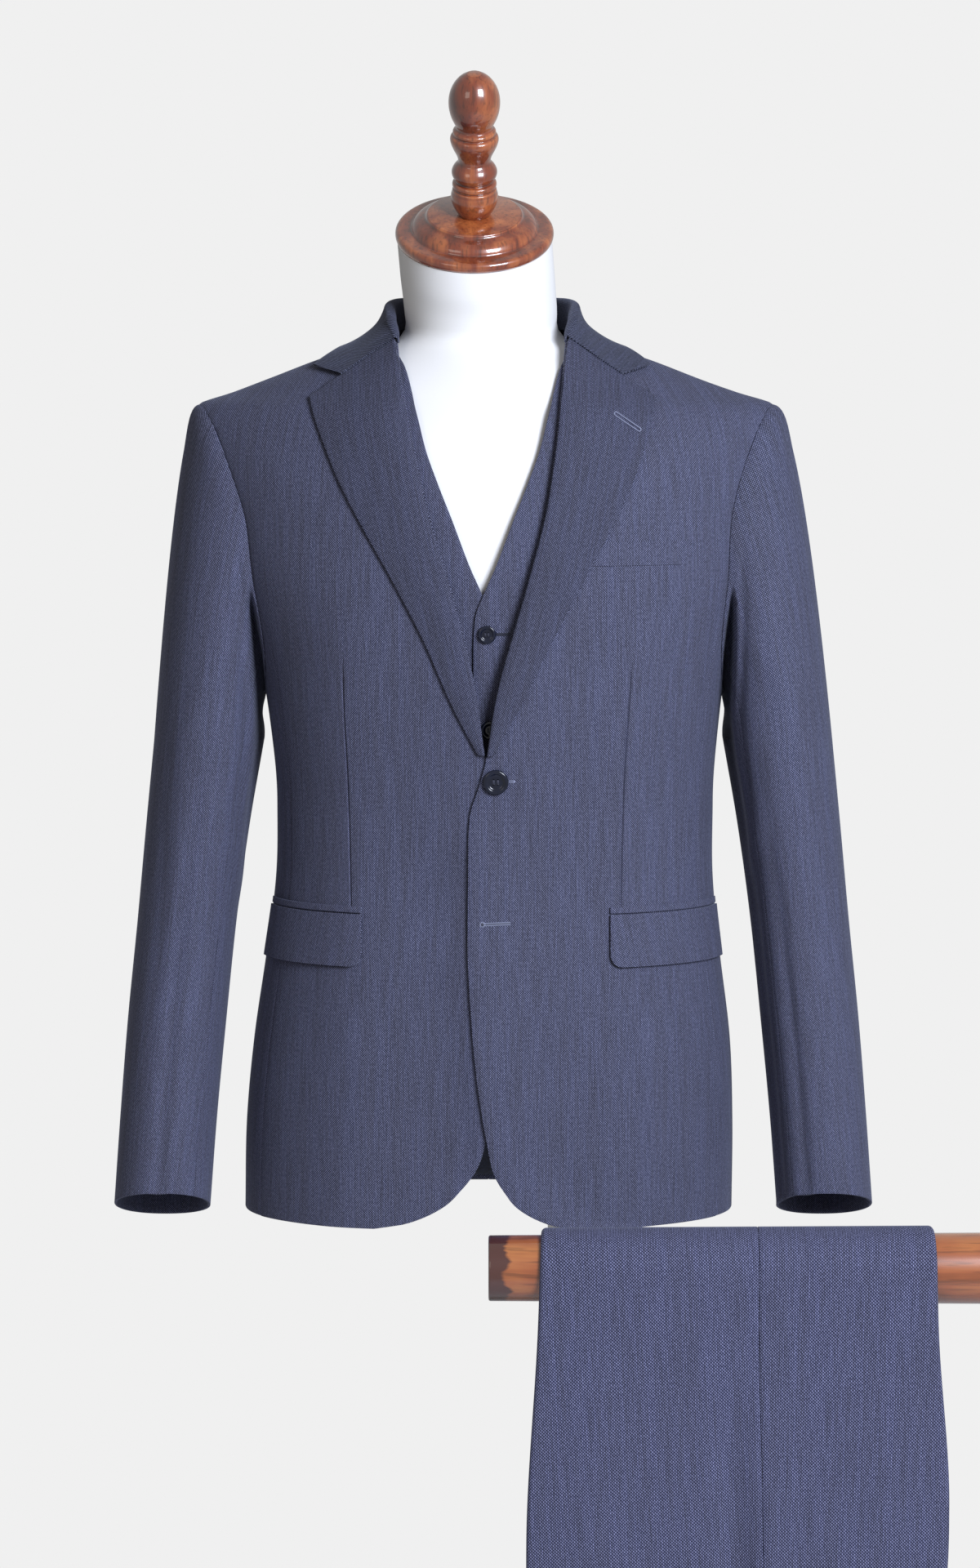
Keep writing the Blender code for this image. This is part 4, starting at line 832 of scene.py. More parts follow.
body_heights = spread(HEM_HEIGHT, 1.410, 110) + spread(1.4125, NECKLINE_HEIGHT, 36)
front_heights = spread(HEM_HEIGHT, 0.800, 22) + spread(0.804, 1.410, 100) + spread(
    1.4125, NECKLINE_HEIGHT, 36)
side_turns = spread(-SIDE_FRONT_TURN, SIDE_BACK_TURN, 26)
crowded = ([s for s in spread(0, 1, 44) if abs(s - 0.5) > DART_CLEAR]
           + [0.5 + d * DART_COLUMNS for d in range(-7, 8)])
for side in (1, -1):
    flip, name = side < 0, side_name(side)
    tailored("back_panel_" + name, spread(0, 1, 34), body_heights, back_point(side),
             JACKET_CLOTH, "jacket_back_" + name, flip)
    tailored("front_panel_" + name, sorted(crowded), front_heights, front_point(side),
             JACKET_CLOTH, "jacket_front_" + name, flip)
    tailored("side_panel_" + name, side_turns, spread(0, 1, 84), side_panel_point(side),
             JACKET_CLOTH, "jacket_side_" + name, flip)


# ---- Back lining ----
# A strip of dark navy satin lining inside the back, felled above the hem. It shows between
# the two fronts where they are cut away.

LINING_CLOTH, LINING_GAP = 0.0010, 0.0008
LINING_TURN, LINING_HEIGHTS = 38, (0.7615, 0.850)
SATIN_NAVY, WEFT_MM = "#101A33", (8.333, 0.625)

# Twill satin: smooth and close, its faint lustre along the weft painted into its colour
satin, tree, shader = new_finish("navy_satin_lining", Roughness=0.36, Sheen_Weight=0.15,
                                 Specular_IOR_Level=0.5)
cut = add_node(tree, "ShaderNodeUVMap", uv_map="grain").outputs["UV"]
fine = add_node(tree, "ShaderNodeMapping", {
    "Vector": cut, "Scale": (1000 / WEFT_MM[0], 1000 / WEFT_MM[1], 1.0)})
weft = add_node(tree, "ShaderNodeTexNoise", {"Vector": fine.outputs["Vector"], "Scale": 1.0},
                noise_dimensions="2D")
painted_lustre = add_node(tree, "ShaderNodeMapRange", {
    "Value": weft.outputs["Fac"], "From Min": 0.3, "From Max": 0.7, "To Min": 0.8,
    "To Max": 1.15})
dyed = add_node(tree, "ShaderNodeMix", {
    "Factor": 1.0, "A": linear(SATIN_NAVY), "B": painted_lustre.outputs["Result"]},
    data_type="RGBA", blend_type="MULTIPLY")
tree.links.new(dyed.outputs["Result"], shader.inputs["Base Color"])


def back_lining_point(offset, height):
    return figure(height, 90 - abs(offset), 1 if offset >= 0 else -1,
                  -JACKET_CLOTH - LINING_GAP)


tailored("back_lining_strip", spread(-LINING_TURN, LINING_TURN, 60),
         spread(*LINING_HEIGHTS, 16), back_lining_point, LINING_CLOTH, "jacket_back_lining",
         flip=True, finish=satin,
         slot="lining")


# ---- Lapels ----
# The facings of the two fronts, turned out along the roll line above the button. Each is two
# layers with canvas between, pressed so that it lies on the chest with a soft roll.

BREAK_HEIGHT, GORGE_HEIGHT, LAPEL_LIFT = 1.150, 1.485, 0.0035
LAPEL_BIAS, FACING_SHADE = 8.0, 0.80
# The roll is fullest near the roll line (a power below 1), and flattens towards the button
ROLL_POWER, ROLL_FLATTENS, ROLL_BEGINS = 0.6, 0.6, (0.0, 0.2)
LAID_GAP = 0.0012
LAPEL_EDGE = {
    "columns": ("share", "away", "height"),
    "rows": ((0.00, 0.1420, 1.4370), (0.15, 0.1353, 1.4130), (0.30, 0.1200, 1.3720),
             (0.45, 0.0990, 1.3300), (0.60, 0.0760, 1.2885), (0.75, 0.0515, 1.2420),
             (0.90, 0.0275, 1.1900), (1.00, 0.0065, 1.1500)),
}

# The facings are cut on another grain than the fronts. Their cloth is also a darker copy of the
# fronts': painted shade, for the lapels, which turn away from the light
shaded_facing_suiting = worsted("shaded_facing_birdseye_worsted", EYE_MM, light=FACING_SHADE)


def lapel_point(side):
    def place(across, share):
        height = mix(GORGE_HEIGHT, BREAK_HEIGHT, share)
        roll = (blend_along(FRONT_EDGE, "away", height), height)
        edge = (blend_along(LAPEL_EDGE, "away", share), blend_along(LAPEL_EDGE, "height", share))
        away, height = mix(roll[0], edge[0], across), mix(roll[1], edge[1], across)
        soft = math.sin(math.pi * across ** ROLL_POWER)
        lift = LAPEL_LIFT * soft * (1 - ROLL_FLATTENS * share) * ramp(*ROLL_BEGINS, share)
        return on_front(front_x(height, away, side), height, side,
                        LAID_GAP + JACKET_CLOTH + lift)
    return place


for side in (1, -1):
    name = side_name(side)
    tailored("lapel_facing_" + name, spread(0, 1, 24), spread(0, 1, 100), lapel_point(side),
             JACKET_CLOTH, "lapel_" + name, flip=side > 0, bias=-LAPEL_BIAS * side,
             finish=shaded_facing_suiting)


# ---- Collar ----
# A stand and a fall cut in one, folded round the neck and sewn to the lapels along the
# gorge, down to the notch. It is cut on the bias and pressed, so its twill shows. Its yarns are
# darker than the fronts': painted shade, for the collar sloping away from the light.

COLLAR = {
    "columns": ("share", "fold_x", "fold_y", "fold_z", "rest_turn", "edge_turn", "edge_z",
                "stand"),
    "rows": ((0.00, 0.0000, 0.0660, 1.5175, 90.0, 90.0, 1.4700, 0.0215),
             (0.30, 0.0505, 0.0510, 1.5175, 46.0, 60.0, 1.4715, 0.0215),
             (0.55, 0.0752, 0.0120, 1.5160, 9.0, 20.0, 1.4750, 0.0205),
             (0.78, 0.0755, -0.0260, 1.5055, -19.0, -6.0, 1.4740, 0.0120),
             (1.00, 0.0696, -0.0490, 1.4900, -38.0, -26.2, 1.4610, 0.0020)),
}
COLLAR_FOLD, COLLAR_REST, COLLAR_SETTLE = 0.0070, 1.4985, 10
GORGE_FROM, GORGE_START, LEAF_TIP = 0.80, (0.0698, 1.48475), (0.1380, 1.4612)
NOTCH_SHARE, NOTCH_CORNER, COLLAR_CLOTH = 0.64, (0.1146, 1.4548), 0.0013
GORGE_LAP = 0.0003
FOLD_REACH, FOLD_NARROW = 0.12, 0.61
# Painted shade: the collar's yarns are darker than the fronts', for the collar facing away from
# the light
SHADED_COLLAR_YARNS = ("#0F1226", "#13141F", "#7B7F97")
COLLAR_TURNED, COLLAR_TWILL = 35.0, 0.26

collar_suiting = worsted("shaded_bias_cut_birdseye_worsted", EYE_MM, SHADED_COLLAR_YARNS, COLLAR_TWILL,
                         turned_by=COLLAR_TURNED)


def collar_end_point(across, side):
    """End of the collar: the gorge, sewn to the lapel out to the notch, then the leaf."""
    if across < NOTCH_SHARE:
        start, end, share = GORGE_START, NOTCH_CORNER, across / NOTCH_SHARE
    else:
        start, end, share = NOTCH_CORNER, LEAF_TIP, (across - NOTCH_SHARE) / (1 - NOTCH_SHARE)
    away, height = mix(start[0], end[0], share), mix(start[1], end[1], share)
    return on_front(front_x(height, away, side), height, side,
                    LAID_GAP + JACKET_CLOTH + GORGE_LAP)


def collar_point(across, along):
    """Point of the collar: across runs from the stand (-1) over the fold (0) to the edge (1)."""
    side, share = (1 if along >= 0 else -1), abs(along)
    neck = blend_along(FIGURE, "sway", GORGE_HEIGHT)
    fold = Vector((side * blend_along(COLLAR, "fold_x", share) + neck,
                   blend_along(COLLAR, "fold_y", share), blend_along(COLLAR, "fold_z", share)))
    away = Vector((fold.x - neck, fold.y, 0)).normalized()
    to_end = ramp(GORGE_FROM, 1.0, share)
    half_fold = COLLAR_FOLD / 2 * (1 - FOLD_NARROW * to_end)
    middle = fold - Vector((0, 0, half_fold))
    fall_top = middle + away * half_fold
    if across < 0:
        settled = (collar_end_point(0, side) - fall_top) * to_end
        if across < -FOLD_REACH:
            drop = blend_along(COLLAR, "stand", share) * (-across - FOLD_REACH) / (1 - FOLD_REACH)
            return middle - away * half_fold - Vector((0, 0, drop)) + settled
        angle = math.pi * (-across / FOLD_REACH)
        return middle + settled + away * half_fold * math.cos(angle) + Vector(
            (0, 0, half_fold * math.sin(angle)))

    def laid(at):
        height = mix(COLLAR_REST, blend_along(COLLAR, "edge_z", share), at)
        turn = mix(blend_along(COLLAR, "rest_turn", share),
                   blend_along(COLLAR, "edge_turn", share), at)
        return figure(height, turn, side, LAID_GAP + JACKET_CLOTH)

    point = laid(across) + (fall_top - laid(0)) * (1 - across) ** COLLAR_SETTLE
    return point.lerp(collar_end_point(across, side), to_end)


collar_across = spread(-1, -0.14, 10) + spread(-0.12, -0.01, 10) + spread(
    0.0, 0.10, 8) + spread(0.13, NOTCH_SHARE, 15) + spread(NOTCH_SHARE + 0.04, 1, 9)
tailored("folded_collar", collar_across, spread(-1, 1, 150), collar_point, COLLAR_CLOTH,
         "jacket_collar", bias=90.0,
         finish=collar_suiting, slot="collar_suiting")


# ---- Sleeves ----
# Two-piece sleeves, a top and an under half, eased into the armholes over a roped head. They
# hang straight and a little forward, pressed to a soft crease down the front of each forearm.

SLEEVE = {
    "columns": ("height", "inner", "outer", "front", "back", "rise"),
    "rows": ((0.767, 0.2360, 0.3158, -0.112, -0.008, 0.33),
             (0.840, 0.2308, 0.3113, -0.100, 0.015, 0.20),
             (0.920, 0.2233, 0.3055, -0.088, 0.035, 0.08),
             (1.003, 0.2148, 0.2976, -0.078, 0.052, 0.00),
             (1.080, 0.2045, 0.2907, -0.074, 0.066, 0.00),
             (1.150, 0.1925, 0.2840, -0.072, 0.075, 0.00)),
}
CUFF_HEIGHT, UNDER_ARM_HEIGHT = 0.767, 1.150
SLEEVE_POWER, HEAD_CURVE, ROPE_RISE, ROPE_END = 2.2, 0.55, 0.005, 0.12
FRONT_SLEEVE_SEAM, BACK_SLEEVE_SEAM, SLEEVE_ROUND = 0.13, 0.80, 0.33
ARMHOLE_TUCK, ARMHOLE_LAP = 0.9985, 0.0002
TUCK_DEPTH, TUCK_EDGE, TUCK_ROUND = 0.029, 0.094, 0.030
TUCK_WIDER_ABOVE, TUCK_CURVE, TUCK_NARROWER_BELOW = 0.135, 2.2, 0.09
TUCK_BACK, TUCK_STARTS, TUCK_ENDS = (-0.20, 0.0), (0.0, 0.06), (0.85, 1.45)
# Folds that drift round the sleeve as they run down it; those marked low fade out above
SLEEVE_FOLDS = {
    "columns": ("out", "around", "wide", "drift", "down", "tall", "low"),
    "rows": ((0.0020, 0.470, 0.045, 0.10, 1.25, 0.30, 1),
             (-0.0022, 0.160, 0.030, -0.16, 0.62, 0.22, 0),
             (-0.0022, 0.760, 0.040, 0.08, 1.05, 0.35, 1)),
}
# Out, centre round the sleeve, and width of the roll beside the tuck, of the bulge in the
# armpit, of the left sleeve's pressed inner edge and of the crease down each forearm
ROLL_OUT, ROLL_WIDE, ROLL_ENDS = 0.0020, 0.026, (1.00, 1.50)
ARMPIT_OUT, ARMPIT_AT, ARMPIT_DOWN = 0.0028, (-0.020, 0.060), (0.45, 0.28)
EDGE_OUT, EDGE_AT, EDGE_FROM = 0.0045, (0.048, 0.045), (0.30, 0.90)
CREASE_OUT, CREASE_AT, CREASE_WIDE, CREASE_FROM = 0.0026, (0.185, 0.255), 0.020, (0.9, 1.6)
BREAK_OUT, BREAK_SLANT, BREAK_DOWN, BREAK_ROUND = -0.0016, 0.9, (1.22, 0.05), (0.1, 0.12)
FOLDS_BEGIN, FOLDS_LOW = 0.05, (0.45, 0.95)


def sleeve_section(height, around):
    """Point of a hanging sleeve; around is 0 inside the arm, 0.25 at its front."""
    inner, outer = blend_along(SLEEVE, "inner", height), blend_along(SLEEVE, "outer", height)
    front, back = blend_along(SLEEVE, "front", height), blend_along(SLEEVE, "back", height)
    c, s = math.cos(math.tau * around), math.sin(math.tau * around)
    x = (inner + outer) / 2 - (outer - inner) / 2 * math.copysign(abs(c) ** (2 / SLEEVE_POWER), c)
    y = (front + back) / 2 - (back - front) / 2 * math.copysign(abs(s) ** (2 / SLEEVE_POWER), s)
    rise = ((front + back) / 2 - y) * blend_along(SLEEVE, "rise", height)
    return Vector((x, y, height + rise))


def armhole_point(around, side):
    """Point of the armhole seam, just inside the cut of the body panels."""
    middle, half = (ARMHOLE_LOW + ARMHOLE_HIGH) / 2, (ARMHOLE_HIGH - ARMHOLE_LOW) / 2
    height = middle - half * ARMHOLE_TUCK * math.cos(math.tau * around)
    reach, name = ((ARMHOLE_FRONT, "front") if math.sin(math.tau * around) >= 0
                   else (ARMHOLE_BACK, "back"))
    turn = armhole_turn(height, reach * ARMHOLE_TUCK, name)
    return figure(height, -turn if name == "front" else turn, side, ARMHOLE_LAP)


def tuck_edge(down):
    """Where, round the sleeve, its front face rolls over into the tuck beside the body."""
    return (TUCK_EDGE + TUCK_WIDER_ABOVE * max(1 - down, 0.0) ** TUCK_CURVE
            - TUCK_NARROWER_BELOW * max(down - 1, 0.0))


def tuck_depth(near, down):
    """The cloth between that edge and the armhole falls back, into the shade of the armpit."""
    edge = tuck_edge(down)
    return (TUCK_DEPTH * (1 - ramp(edge - TUCK_ROUND, edge, near)) * ramp(*TUCK_BACK, near)
            * ramp(*TUCK_STARTS, down) * (1 - ramp(*TUCK_ENDS, down)))


def inside_of(around):
    """Place round the sleeve counted from the inside of the arm, -0.5 to 0.5."""
    return (around + 0.5) % 1.0 - 0.5


def sleeve_folds(around, down, side):
    """Soft folds of a hanging sleeve: how far its cloth stands out (above 0) or sinks in."""
    near = inside_of(around)
    folds = ROLL_OUT * hump(near, tuck_edge(down) + TUCK_ROUND, ROLL_WIDE) * (
        1 - ramp(*ROLL_ENDS, down))
    folds += ARMPIT_OUT * hump(near, *ARMPIT_AT) * hump(down, *ARMPIT_DOWN)
    if side > 0:
        folds += EDGE_OUT * hump(near, *EDGE_AT) * ramp(*EDGE_FROM, down)
    folds += CREASE_OUT * ramp(*CREASE_FROM, down) * hump(
        around, CREASE_AT[0] if side > 0 else CREASE_AT[1], CREASE_WIDE)
    for out, place, wide, drift, middle, tall, low in SLEEVE_FOLDS["rows"]:
        folds += (out * hump(around + drift * down, place, wide) * hump(down, middle, tall)
                  * (ramp(*FOLDS_LOW, down) if low else 1.0))
    return folds + BREAK_OUT * hump(around, *BREAK_ROUND) * hump(
        down + BREAK_SLANT * (around - BREAK_ROUND[0]), *BREAK_DOWN)


def sleeve_point(side, tucked=1.0):
    def surface(around, down):
        down = max(down, 0.0)
        tuck = tucked * tuck_depth(inside_of(around), down)
        if down >= 1:
            point = sleeve_section(mix(UNDER_ARM_HEIGHT, CUFF_HEIGHT, down - 1), around)
            return Vector((side * point.x, point.y + tuck, point.z))
        seam = armhole_point(around, side)
        hang = sleeve_section(UNDER_ARM_HEIGHT, around)
        hang.x *= side
        share = down ** HEAD_CURVE
        top = 0.5 - 0.5 * math.cos(math.tau * around)
        rope = ROPE_RISE * top ** 3 * math.sin(math.pi * min(down / ROPE_END, 1.0))
        return Vector((mix(seam.x, hang.x, share),
                       mix(seam.y, hang.y, share) + tuck,
                       mix(seam.z, hang.z, down) + rope))

    def place(around, down):
        point = surface(around, down)
        fold = sleeve_folds(around % 1.0, down, side)
        if abs(fold) < 1e-5 or not FOLDS_BEGIN < down < 1.999:
            return point
        wide = surface(around + 0.004, down) - surface(around - 0.004, down)
        tall = surface(around, down - 0.006) - surface(around, down + 0.006)
        return point + wide.cross(tall).normalized() * (-side * fold)
    return place


sleeve_down = [0, 0.005, 0.012, 0.02, 0.03, 0.045, 0.06, 0.08, 0.10, 0.13] + spread(
    0.16, 1.0, 44) + spread(1.02, 2.0, 80)
seam_share = SEAM / SLEEVE_ROUND
for side in (1, -1):
    name = side_name(side)
    for half, start, end, columns, beside in (
            ("top", FRONT_SLEEVE_SEAM, BACK_SLEEVE_SEAM, 84, "front_panel_"),
            ("under", BACK_SLEEVE_SEAM - 1, FRONT_SLEEVE_SEAM, 48, "side_panel_")):
        tailored(half + "_sleeve_panel_" + name,
                 spread(start + seam_share, end - seam_share, columns), sleeve_down,
                 sleeve_point(side), JACKET_CLOTH, half + "_sleeve_" + name, flip=side > 0,
                 cut_to=sleeve_point(side, 0.0))


# ---- Pockets ----
# Two jetted hip pockets with flaps, cut to match the front, and a narrow breast welt on the
# wearer's left. Flaps hang from their jets with round front corners.

FLAP_INNER, FLAP_TURN_END, FLAP_TOP, FLAP_DROP = 0.1005, -9.0, 1.0150, 0.0430
FLAP_CORNER, FLAP_ROUND_FROM, FLAP_LIFT = 0.0100, 0.75, 0.0006
JET_HEIGHT, JET_ABOVE_FLAP, POCKET_CLOTH = 0.0055, 0.0010, 0.0012
WELT_LOW, WELT_HIGH, WELT_CLOTH = 1.3030, 1.3225, 0.0008
WELT_INNER, WELT_OUTER, WELT_OUT = (0.0730, 0.0885), (0.1550, 0.1635), 0.0010
WELT_SLANT = 31.6


def on_hip(height, away, share, side, out):
    """Point of a pocket piece that starts at a place away from the middle of the front."""
    turn = mix(turn_at(height, front_x(height, away, side), side), FLAP_TURN_END, share)
    swell = front_swell(on_section(FIGURE, height, turn, side).x, height, side)
    return figure(height, turn, side, LAID_GAP + out + swell)


def flap_point(side):
    def place(share, down):
        low = max(down - FLAP_ROUND_FROM, 0.0) / (1 - FLAP_ROUND_FROM)
        corner = FLAP_CORNER * (1 - math.sqrt(max(1 - low ** 2, 0.0)))
        return on_hip(FLAP_TOP - FLAP_DROP * down, FLAP_INNER + corner, share, side,
                      JACKET_CLOTH + FLAP_LIFT * down)
    return place


def jet_point(side):
    def place(share, up):
        return on_hip(FLAP_TOP + JET_ABOVE_FLAP + JET_HEIGHT * up, FLAP_INNER, share, side,
                      POCKET_CLOTH)
    return place


def welt_point(share, up):
    height = mix(WELT_LOW, WELT_HIGH, up)
    x = mix(mix(*WELT_INNER, up), mix(*WELT_OUTER, up), share)
    return on_front(x, height, 1, WELT_OUT)


flap_down = [1.0, 0.998, 0.992, 0.98, 0.965, 0.945, 0.92, 0.89, 0.86, 0.82, 0.78] + spread(
    0.74, 0.0, 22)
for side in (1, -1):
    name, on = side_name(side), ["front_panel_" + side_name(side)]
    tailored("flap_" + name, spread(0, 1, 50), flap_down, flap_point(side), JACKET_CLOTH,
             "pocket_flap_" + name, flip=side < 0)
    tailored("jet_" + name, spread(0, 1, 50), spread(0, 1, 4), jet_point(side), POCKET_CLOTH,
             "pocket_jet_" + name, flip=side < 0)
tailored("breast_pocket_welt", spread(0, 1, 34), spread(0, 1, 12), welt_point, WELT_CLOTH,
         "breast_welt", bias=-WELT_SLANT)


# ---- Buttons and buttonholes ----
# Four-hole buttons pressed from dark navy polyester and polished, sewn through with navy
# thread, and hand-looking buttonholes whipped with grey-blue thread.

BUTTON_GAP = 0.0004
# X, height, radius and thickness of each button
JACKET_BUTTON = (0.002, 1.128, 0.0105, 0.0040)
WAISTCOAT_BUTTONS = ((-0.0053, 1.2475, 0.0075, 0.0030), (-0.0030, 1.1680, 0.0075, 0.0030))
BUTTON_NAVY, BUTTON_CLOUD = "#070A16", "#131A30"
THREAD_NAVY, THREAD_GREY = "#20243A", "#9197B3"
RESIN_CLOUD_MM, PLY_MM = 6.25, 0.41667
# The button's profile, as shares of its thickness and radius
BUTTON_PROFILE = ((0.62, 0.0), (0.60, 0.30), (0.62, 0.52), (0.76, 0.62), (0.95, 0.70),
                  (1.0, 0.80), (0.96, 0.90), (0.80, 0.975), (0.55, 1.0), (0.25, 0.97),
                  (0.0, 0.84), (0.0, 0.0))
# Its holes, as shares of the radius; its threads, as shares of a hole, of the holes' spacing and
# of the thickness
HOLE_SPACING, HOLE_RADIUS = 0.165, 0.098
THREAD_RADIUS, THREAD_APART, THREAD_LONG, THREAD_HEIGHT = 0.36, 0.42, 2.3, 0.63
STITCH_LIFT, SLIT_LIFT, EYELET_STITCHES, LAPEL_HOLE_LIFT = 0.00025, 0.0001, 18, 0.55

# Polyester resin: almost black, glossy, with the faint cloud of a pressed button
resin, tree, shader = new_finish("polished_navy_resin", Roughness=0.16, IOR=1.55,
                                 Specular_IOR_Level=0.25, Coat_Weight=0.35,
                                 Coat_Roughness=0.05)
spot = add_node(tree, "ShaderNodeTexCoord").outputs["Object"]
cloudy = add_node(tree, "ShaderNodeTexNoise", {
    "Vector": spot, "Scale": 1000 / RESIN_CLOUD_MM, "Detail": 3.0})
pressed = add_node(tree, "ShaderNodeMix", {
    "Factor": cloudy.outputs["Fac"], "A": linear(BUTTON_NAVY), "B": linear(BUTTON_CLOUD)},
    data_type="RGBA")
tree.links.new(pressed.outputs["Result"], shader.inputs["Base Color"])


def thread_finish(name, colour):
    """Twisted polyester thread: a dull gleam, its tone blotched lighter and darker at the size of
    its plies.
    """
    made, tree, shader = new_finish(name, Roughness=0.55, Sheen_Weight=0.3)
    spot = add_node(tree, "ShaderNodeTexCoord").outputs["Object"]
    plies = add_node(tree, "ShaderNodeTexNoise", {"Vector": spot, "Scale": 1000 / PLY_MM})
    shade = add_node(tree, "ShaderNodeMapRange", {
        "Value": plies.outputs["Fac"], "To Min": 0.65, "To Max": 1.25})
    dyed = add_node(tree, "ShaderNodeMix", {
        "Factor": 1.0, "A": linear(colour), "B": shade.outputs["Result"]},
        data_type="RGBA", blend_type="MULTIPLY")
    tree.links.new(dyed.outputs["Result"], shader.inputs["Base Color"])
    return made


navy_thread = thread_finish("navy_sewing_thread", THREAD_NAVY)
grey_thread = thread_finish("grey_buttonhole_thread", THREAD_GREY)


def on_jacket(x, z, out=BUTTON_GAP):
    return on_front(x, z, 1, out)


def on_waistcoat(x, z, out=BUTTON_GAP):
    return figure(z, turn_at(z, x, 1), 1, waistcoat_out(x, z, 1) + out)


def seat_of(seat, x, z, step=0.004):
    """Place and facing of the cloth under a button or a buttonhole."""
    facing = (seat(x + step, z) - seat(x - step, z)).cross(seat(x, z + step) - seat(x, z - step))
    return Matrix.Translation(seat(x, z)) @ facing.to_track_quat("Z", "Y").to_matrix().to_4x4()


def button(name, seat, x, z, radius, height, slot_node):
    """Dished four-hole button and the cross threads that hold it."""
    profile = [(height * up, radius * out) for up, out in BUTTON_PROFILE]
    blank = turned(name, rounded_profile(profile, 2), 72)
    holes = bmesh.new()
    spacing, hole = radius * HOLE_SPACING, radius * HOLE_RADIUS
    for x_way, y_way in product((-1, 1), repeat=2):
        bmesh.ops.create_cone(
            holes, cap_ends=True, segments=20, radius1=hole, radius2=hole, depth=height * 4,
            matrix=Matrix.Translation((x_way * spacing, y_way * spacing, 0)))
    drills = piece_from(holes, name + "_drills")
    drilled = blank.modifiers.new("Holes", "BOOLEAN")
    drilled.object, drilled.operation, drilled.solver = drills, "DIFFERENCE", "EXACT"
    mesh = bpy.data.meshes.new_from_object(
        blank.evaluated_get(bpy.context.evaluated_depsgraph_get()))
    blank.modifiers.clear()
    blank.data = mesh
    bpy.data.objects.remove(drills)
    mesh.shade_smooth()
    mesh.set_sharp_from_angle(angle=TURNED_CREASE)
    lay = seat_of(seat, x, z)
    mesh.transform(lay)
    dress(blank, resin, "button", slot_node)
    sewing = bmesh.new()
    for x_way, turn in product((-1, 1), (-1, 0, 1)):
        across = x_way * spacing + turn * hole * THREAD_APART
        bmesh.ops.create_cone(
            sewing, cap_ends=True, segments=8, radius1=hole * THREAD_RADIUS,
            radius2=hole * THREAD_RADIUS, depth=spacing * THREAD_LONG,
            matrix=Matrix.Translation((across, 0, height * THREAD_HEIGHT))
            @ Matrix.Rotation(math.pi / 2, 4, "X"))
    threads = piece_from(sewing, name + "_thread")
    threads.data.transform(lay)
    dress(threads, navy_thread, "suiting")


button("front_button", on_jacket, *JACKET_BUTTON, "jacket_button")
for number, place in enumerate(WAISTCOAT_BUTTONS, 1):
    button("waistcoat_front_button_%d" % number, on_waistcoat, *place,
           "waistcoat_button_%d" % number)


def whipped_hole(name, seat, start, end, eyelet, finish, width=0.0011, pitch=0.00055,
                 thick=0.00024, slit=0.00018, painted_slit_shade=True):
    """Buttonhole worked over its slit: close stitches on both lips, round an eyelet at the
    start if it has one. Each stitch runs between two (along, across) places. Where asked, a dark
    navy bead along the slit and a flat dark disc in the eyelet are painted shade in the opening."""
    (x0, z0), (x1, z1) = start, end
    length = math.hypot(x1 - x0, z1 - z0)
    ux, uz = (x1 - x0) / length, (z1 - z0) / length

    def place(along, across, lift):
        return seat(x0 + ux * along - uz * across, z0 + uz * along + ux * across, lift)

    def bead(shape, start, end, size, over, u=6, v=5):
        """Long round bead from one place to another."""
        way = end - start
        bmesh.ops.create_uvsphere(
            shape, u_segments=u, v_segments=v, radius=1.0,
            matrix=Matrix.Translation((start + end) / 2)
            @ way.to_track_quat("Z", "Y").to_matrix().to_4x4()
            @ Matrix.Diagonal((size, size, way.length / 2 + over, 1.0)))

    stitches = [((i * pitch, lip * slit), (i * pitch, lip * width))
                for i in range(int(length / pitch) + 1) for lip in (-1, 1)]
    near, far = (eyelet, eyelet + width * 0.9) if eyelet else (slit, width)
    for i in range(EYELET_STITCHES):
        angle = math.tau * (i + 0.5) / EYELET_STITCHES
        c, s = math.cos(angle), math.sin(angle)
        end = 0.0 if eyelet or c < 0 else length
        stitches.append(((end + near * c, near * s), (end + far * c, far * s)))
    shape = bmesh.new()
    for inside, outside in stitches:
        bead(shape, place(*inside, STITCH_LIFT), place(*outside, STITCH_LIFT), thick, thick)
    dress(piece_from(shape, name), finish, "suiting")
    if not painted_slit_shade:
        return
    # Painted shade: a dark navy bead along the slit, and a flat dark disc in the eyelet, stand for
    # the shade in the opening
    cut = bmesh.new()
    middle, tip = place(length / 2, 0.0, SLIT_LIFT), place(length, 0.0, SLIT_LIFT)
    bead(cut, middle * 2 - tip, tip, slit, 0.0, 8, 6)
    if eyelet:
        bmesh.ops.create_uvsphere(cut, u_segments=12, v_segments=6, radius=eyelet,
                                  matrix=seat_of(seat, x0, z0) @ Matrix.Diagonal((1, 1, 0.2, 1)))
    dress(piece_from(cut, name + "_slit_shade"), navy_thread, "suiting")


def on_lapel(x, z, out=0.0):
    return on_front(x, z, 1, LAID_GAP + JACKET_CLOTH + LAPEL_LIFT * LAPEL_HOLE_LIFT + out)


whipped_hole("lower_buttonhole", on_jacket, (-0.0088, 1.0085), (0.0142, 1.0095), 0.0013,
             grey_thread, width=0.0013, slit=0.0004)
whipped_hole("top_buttonhole", on_jacket, (0.0005, 1.128), (0.0165, 1.128), 0.0, grey_thread)
whipped_hole("lapel_buttonhole", on_lapel, (0.0990, 1.4235), (0.1180, 1.4110), 0.0,
             grey_thread, width=0.0017, slit=0.0010, painted_slit_shade=False)
whipped_hole("waistcoat_buttonhole_1", on_waistcoat, (-0.0040, 1.2475), (0.0125, 1.2475), 0.0,
             navy_thread)


# ---- Rod ----
# A straight hardwood pole with its bark off, stained and varnished like the cap, with a
# rough dark sawn end. The trousers are folded over it.

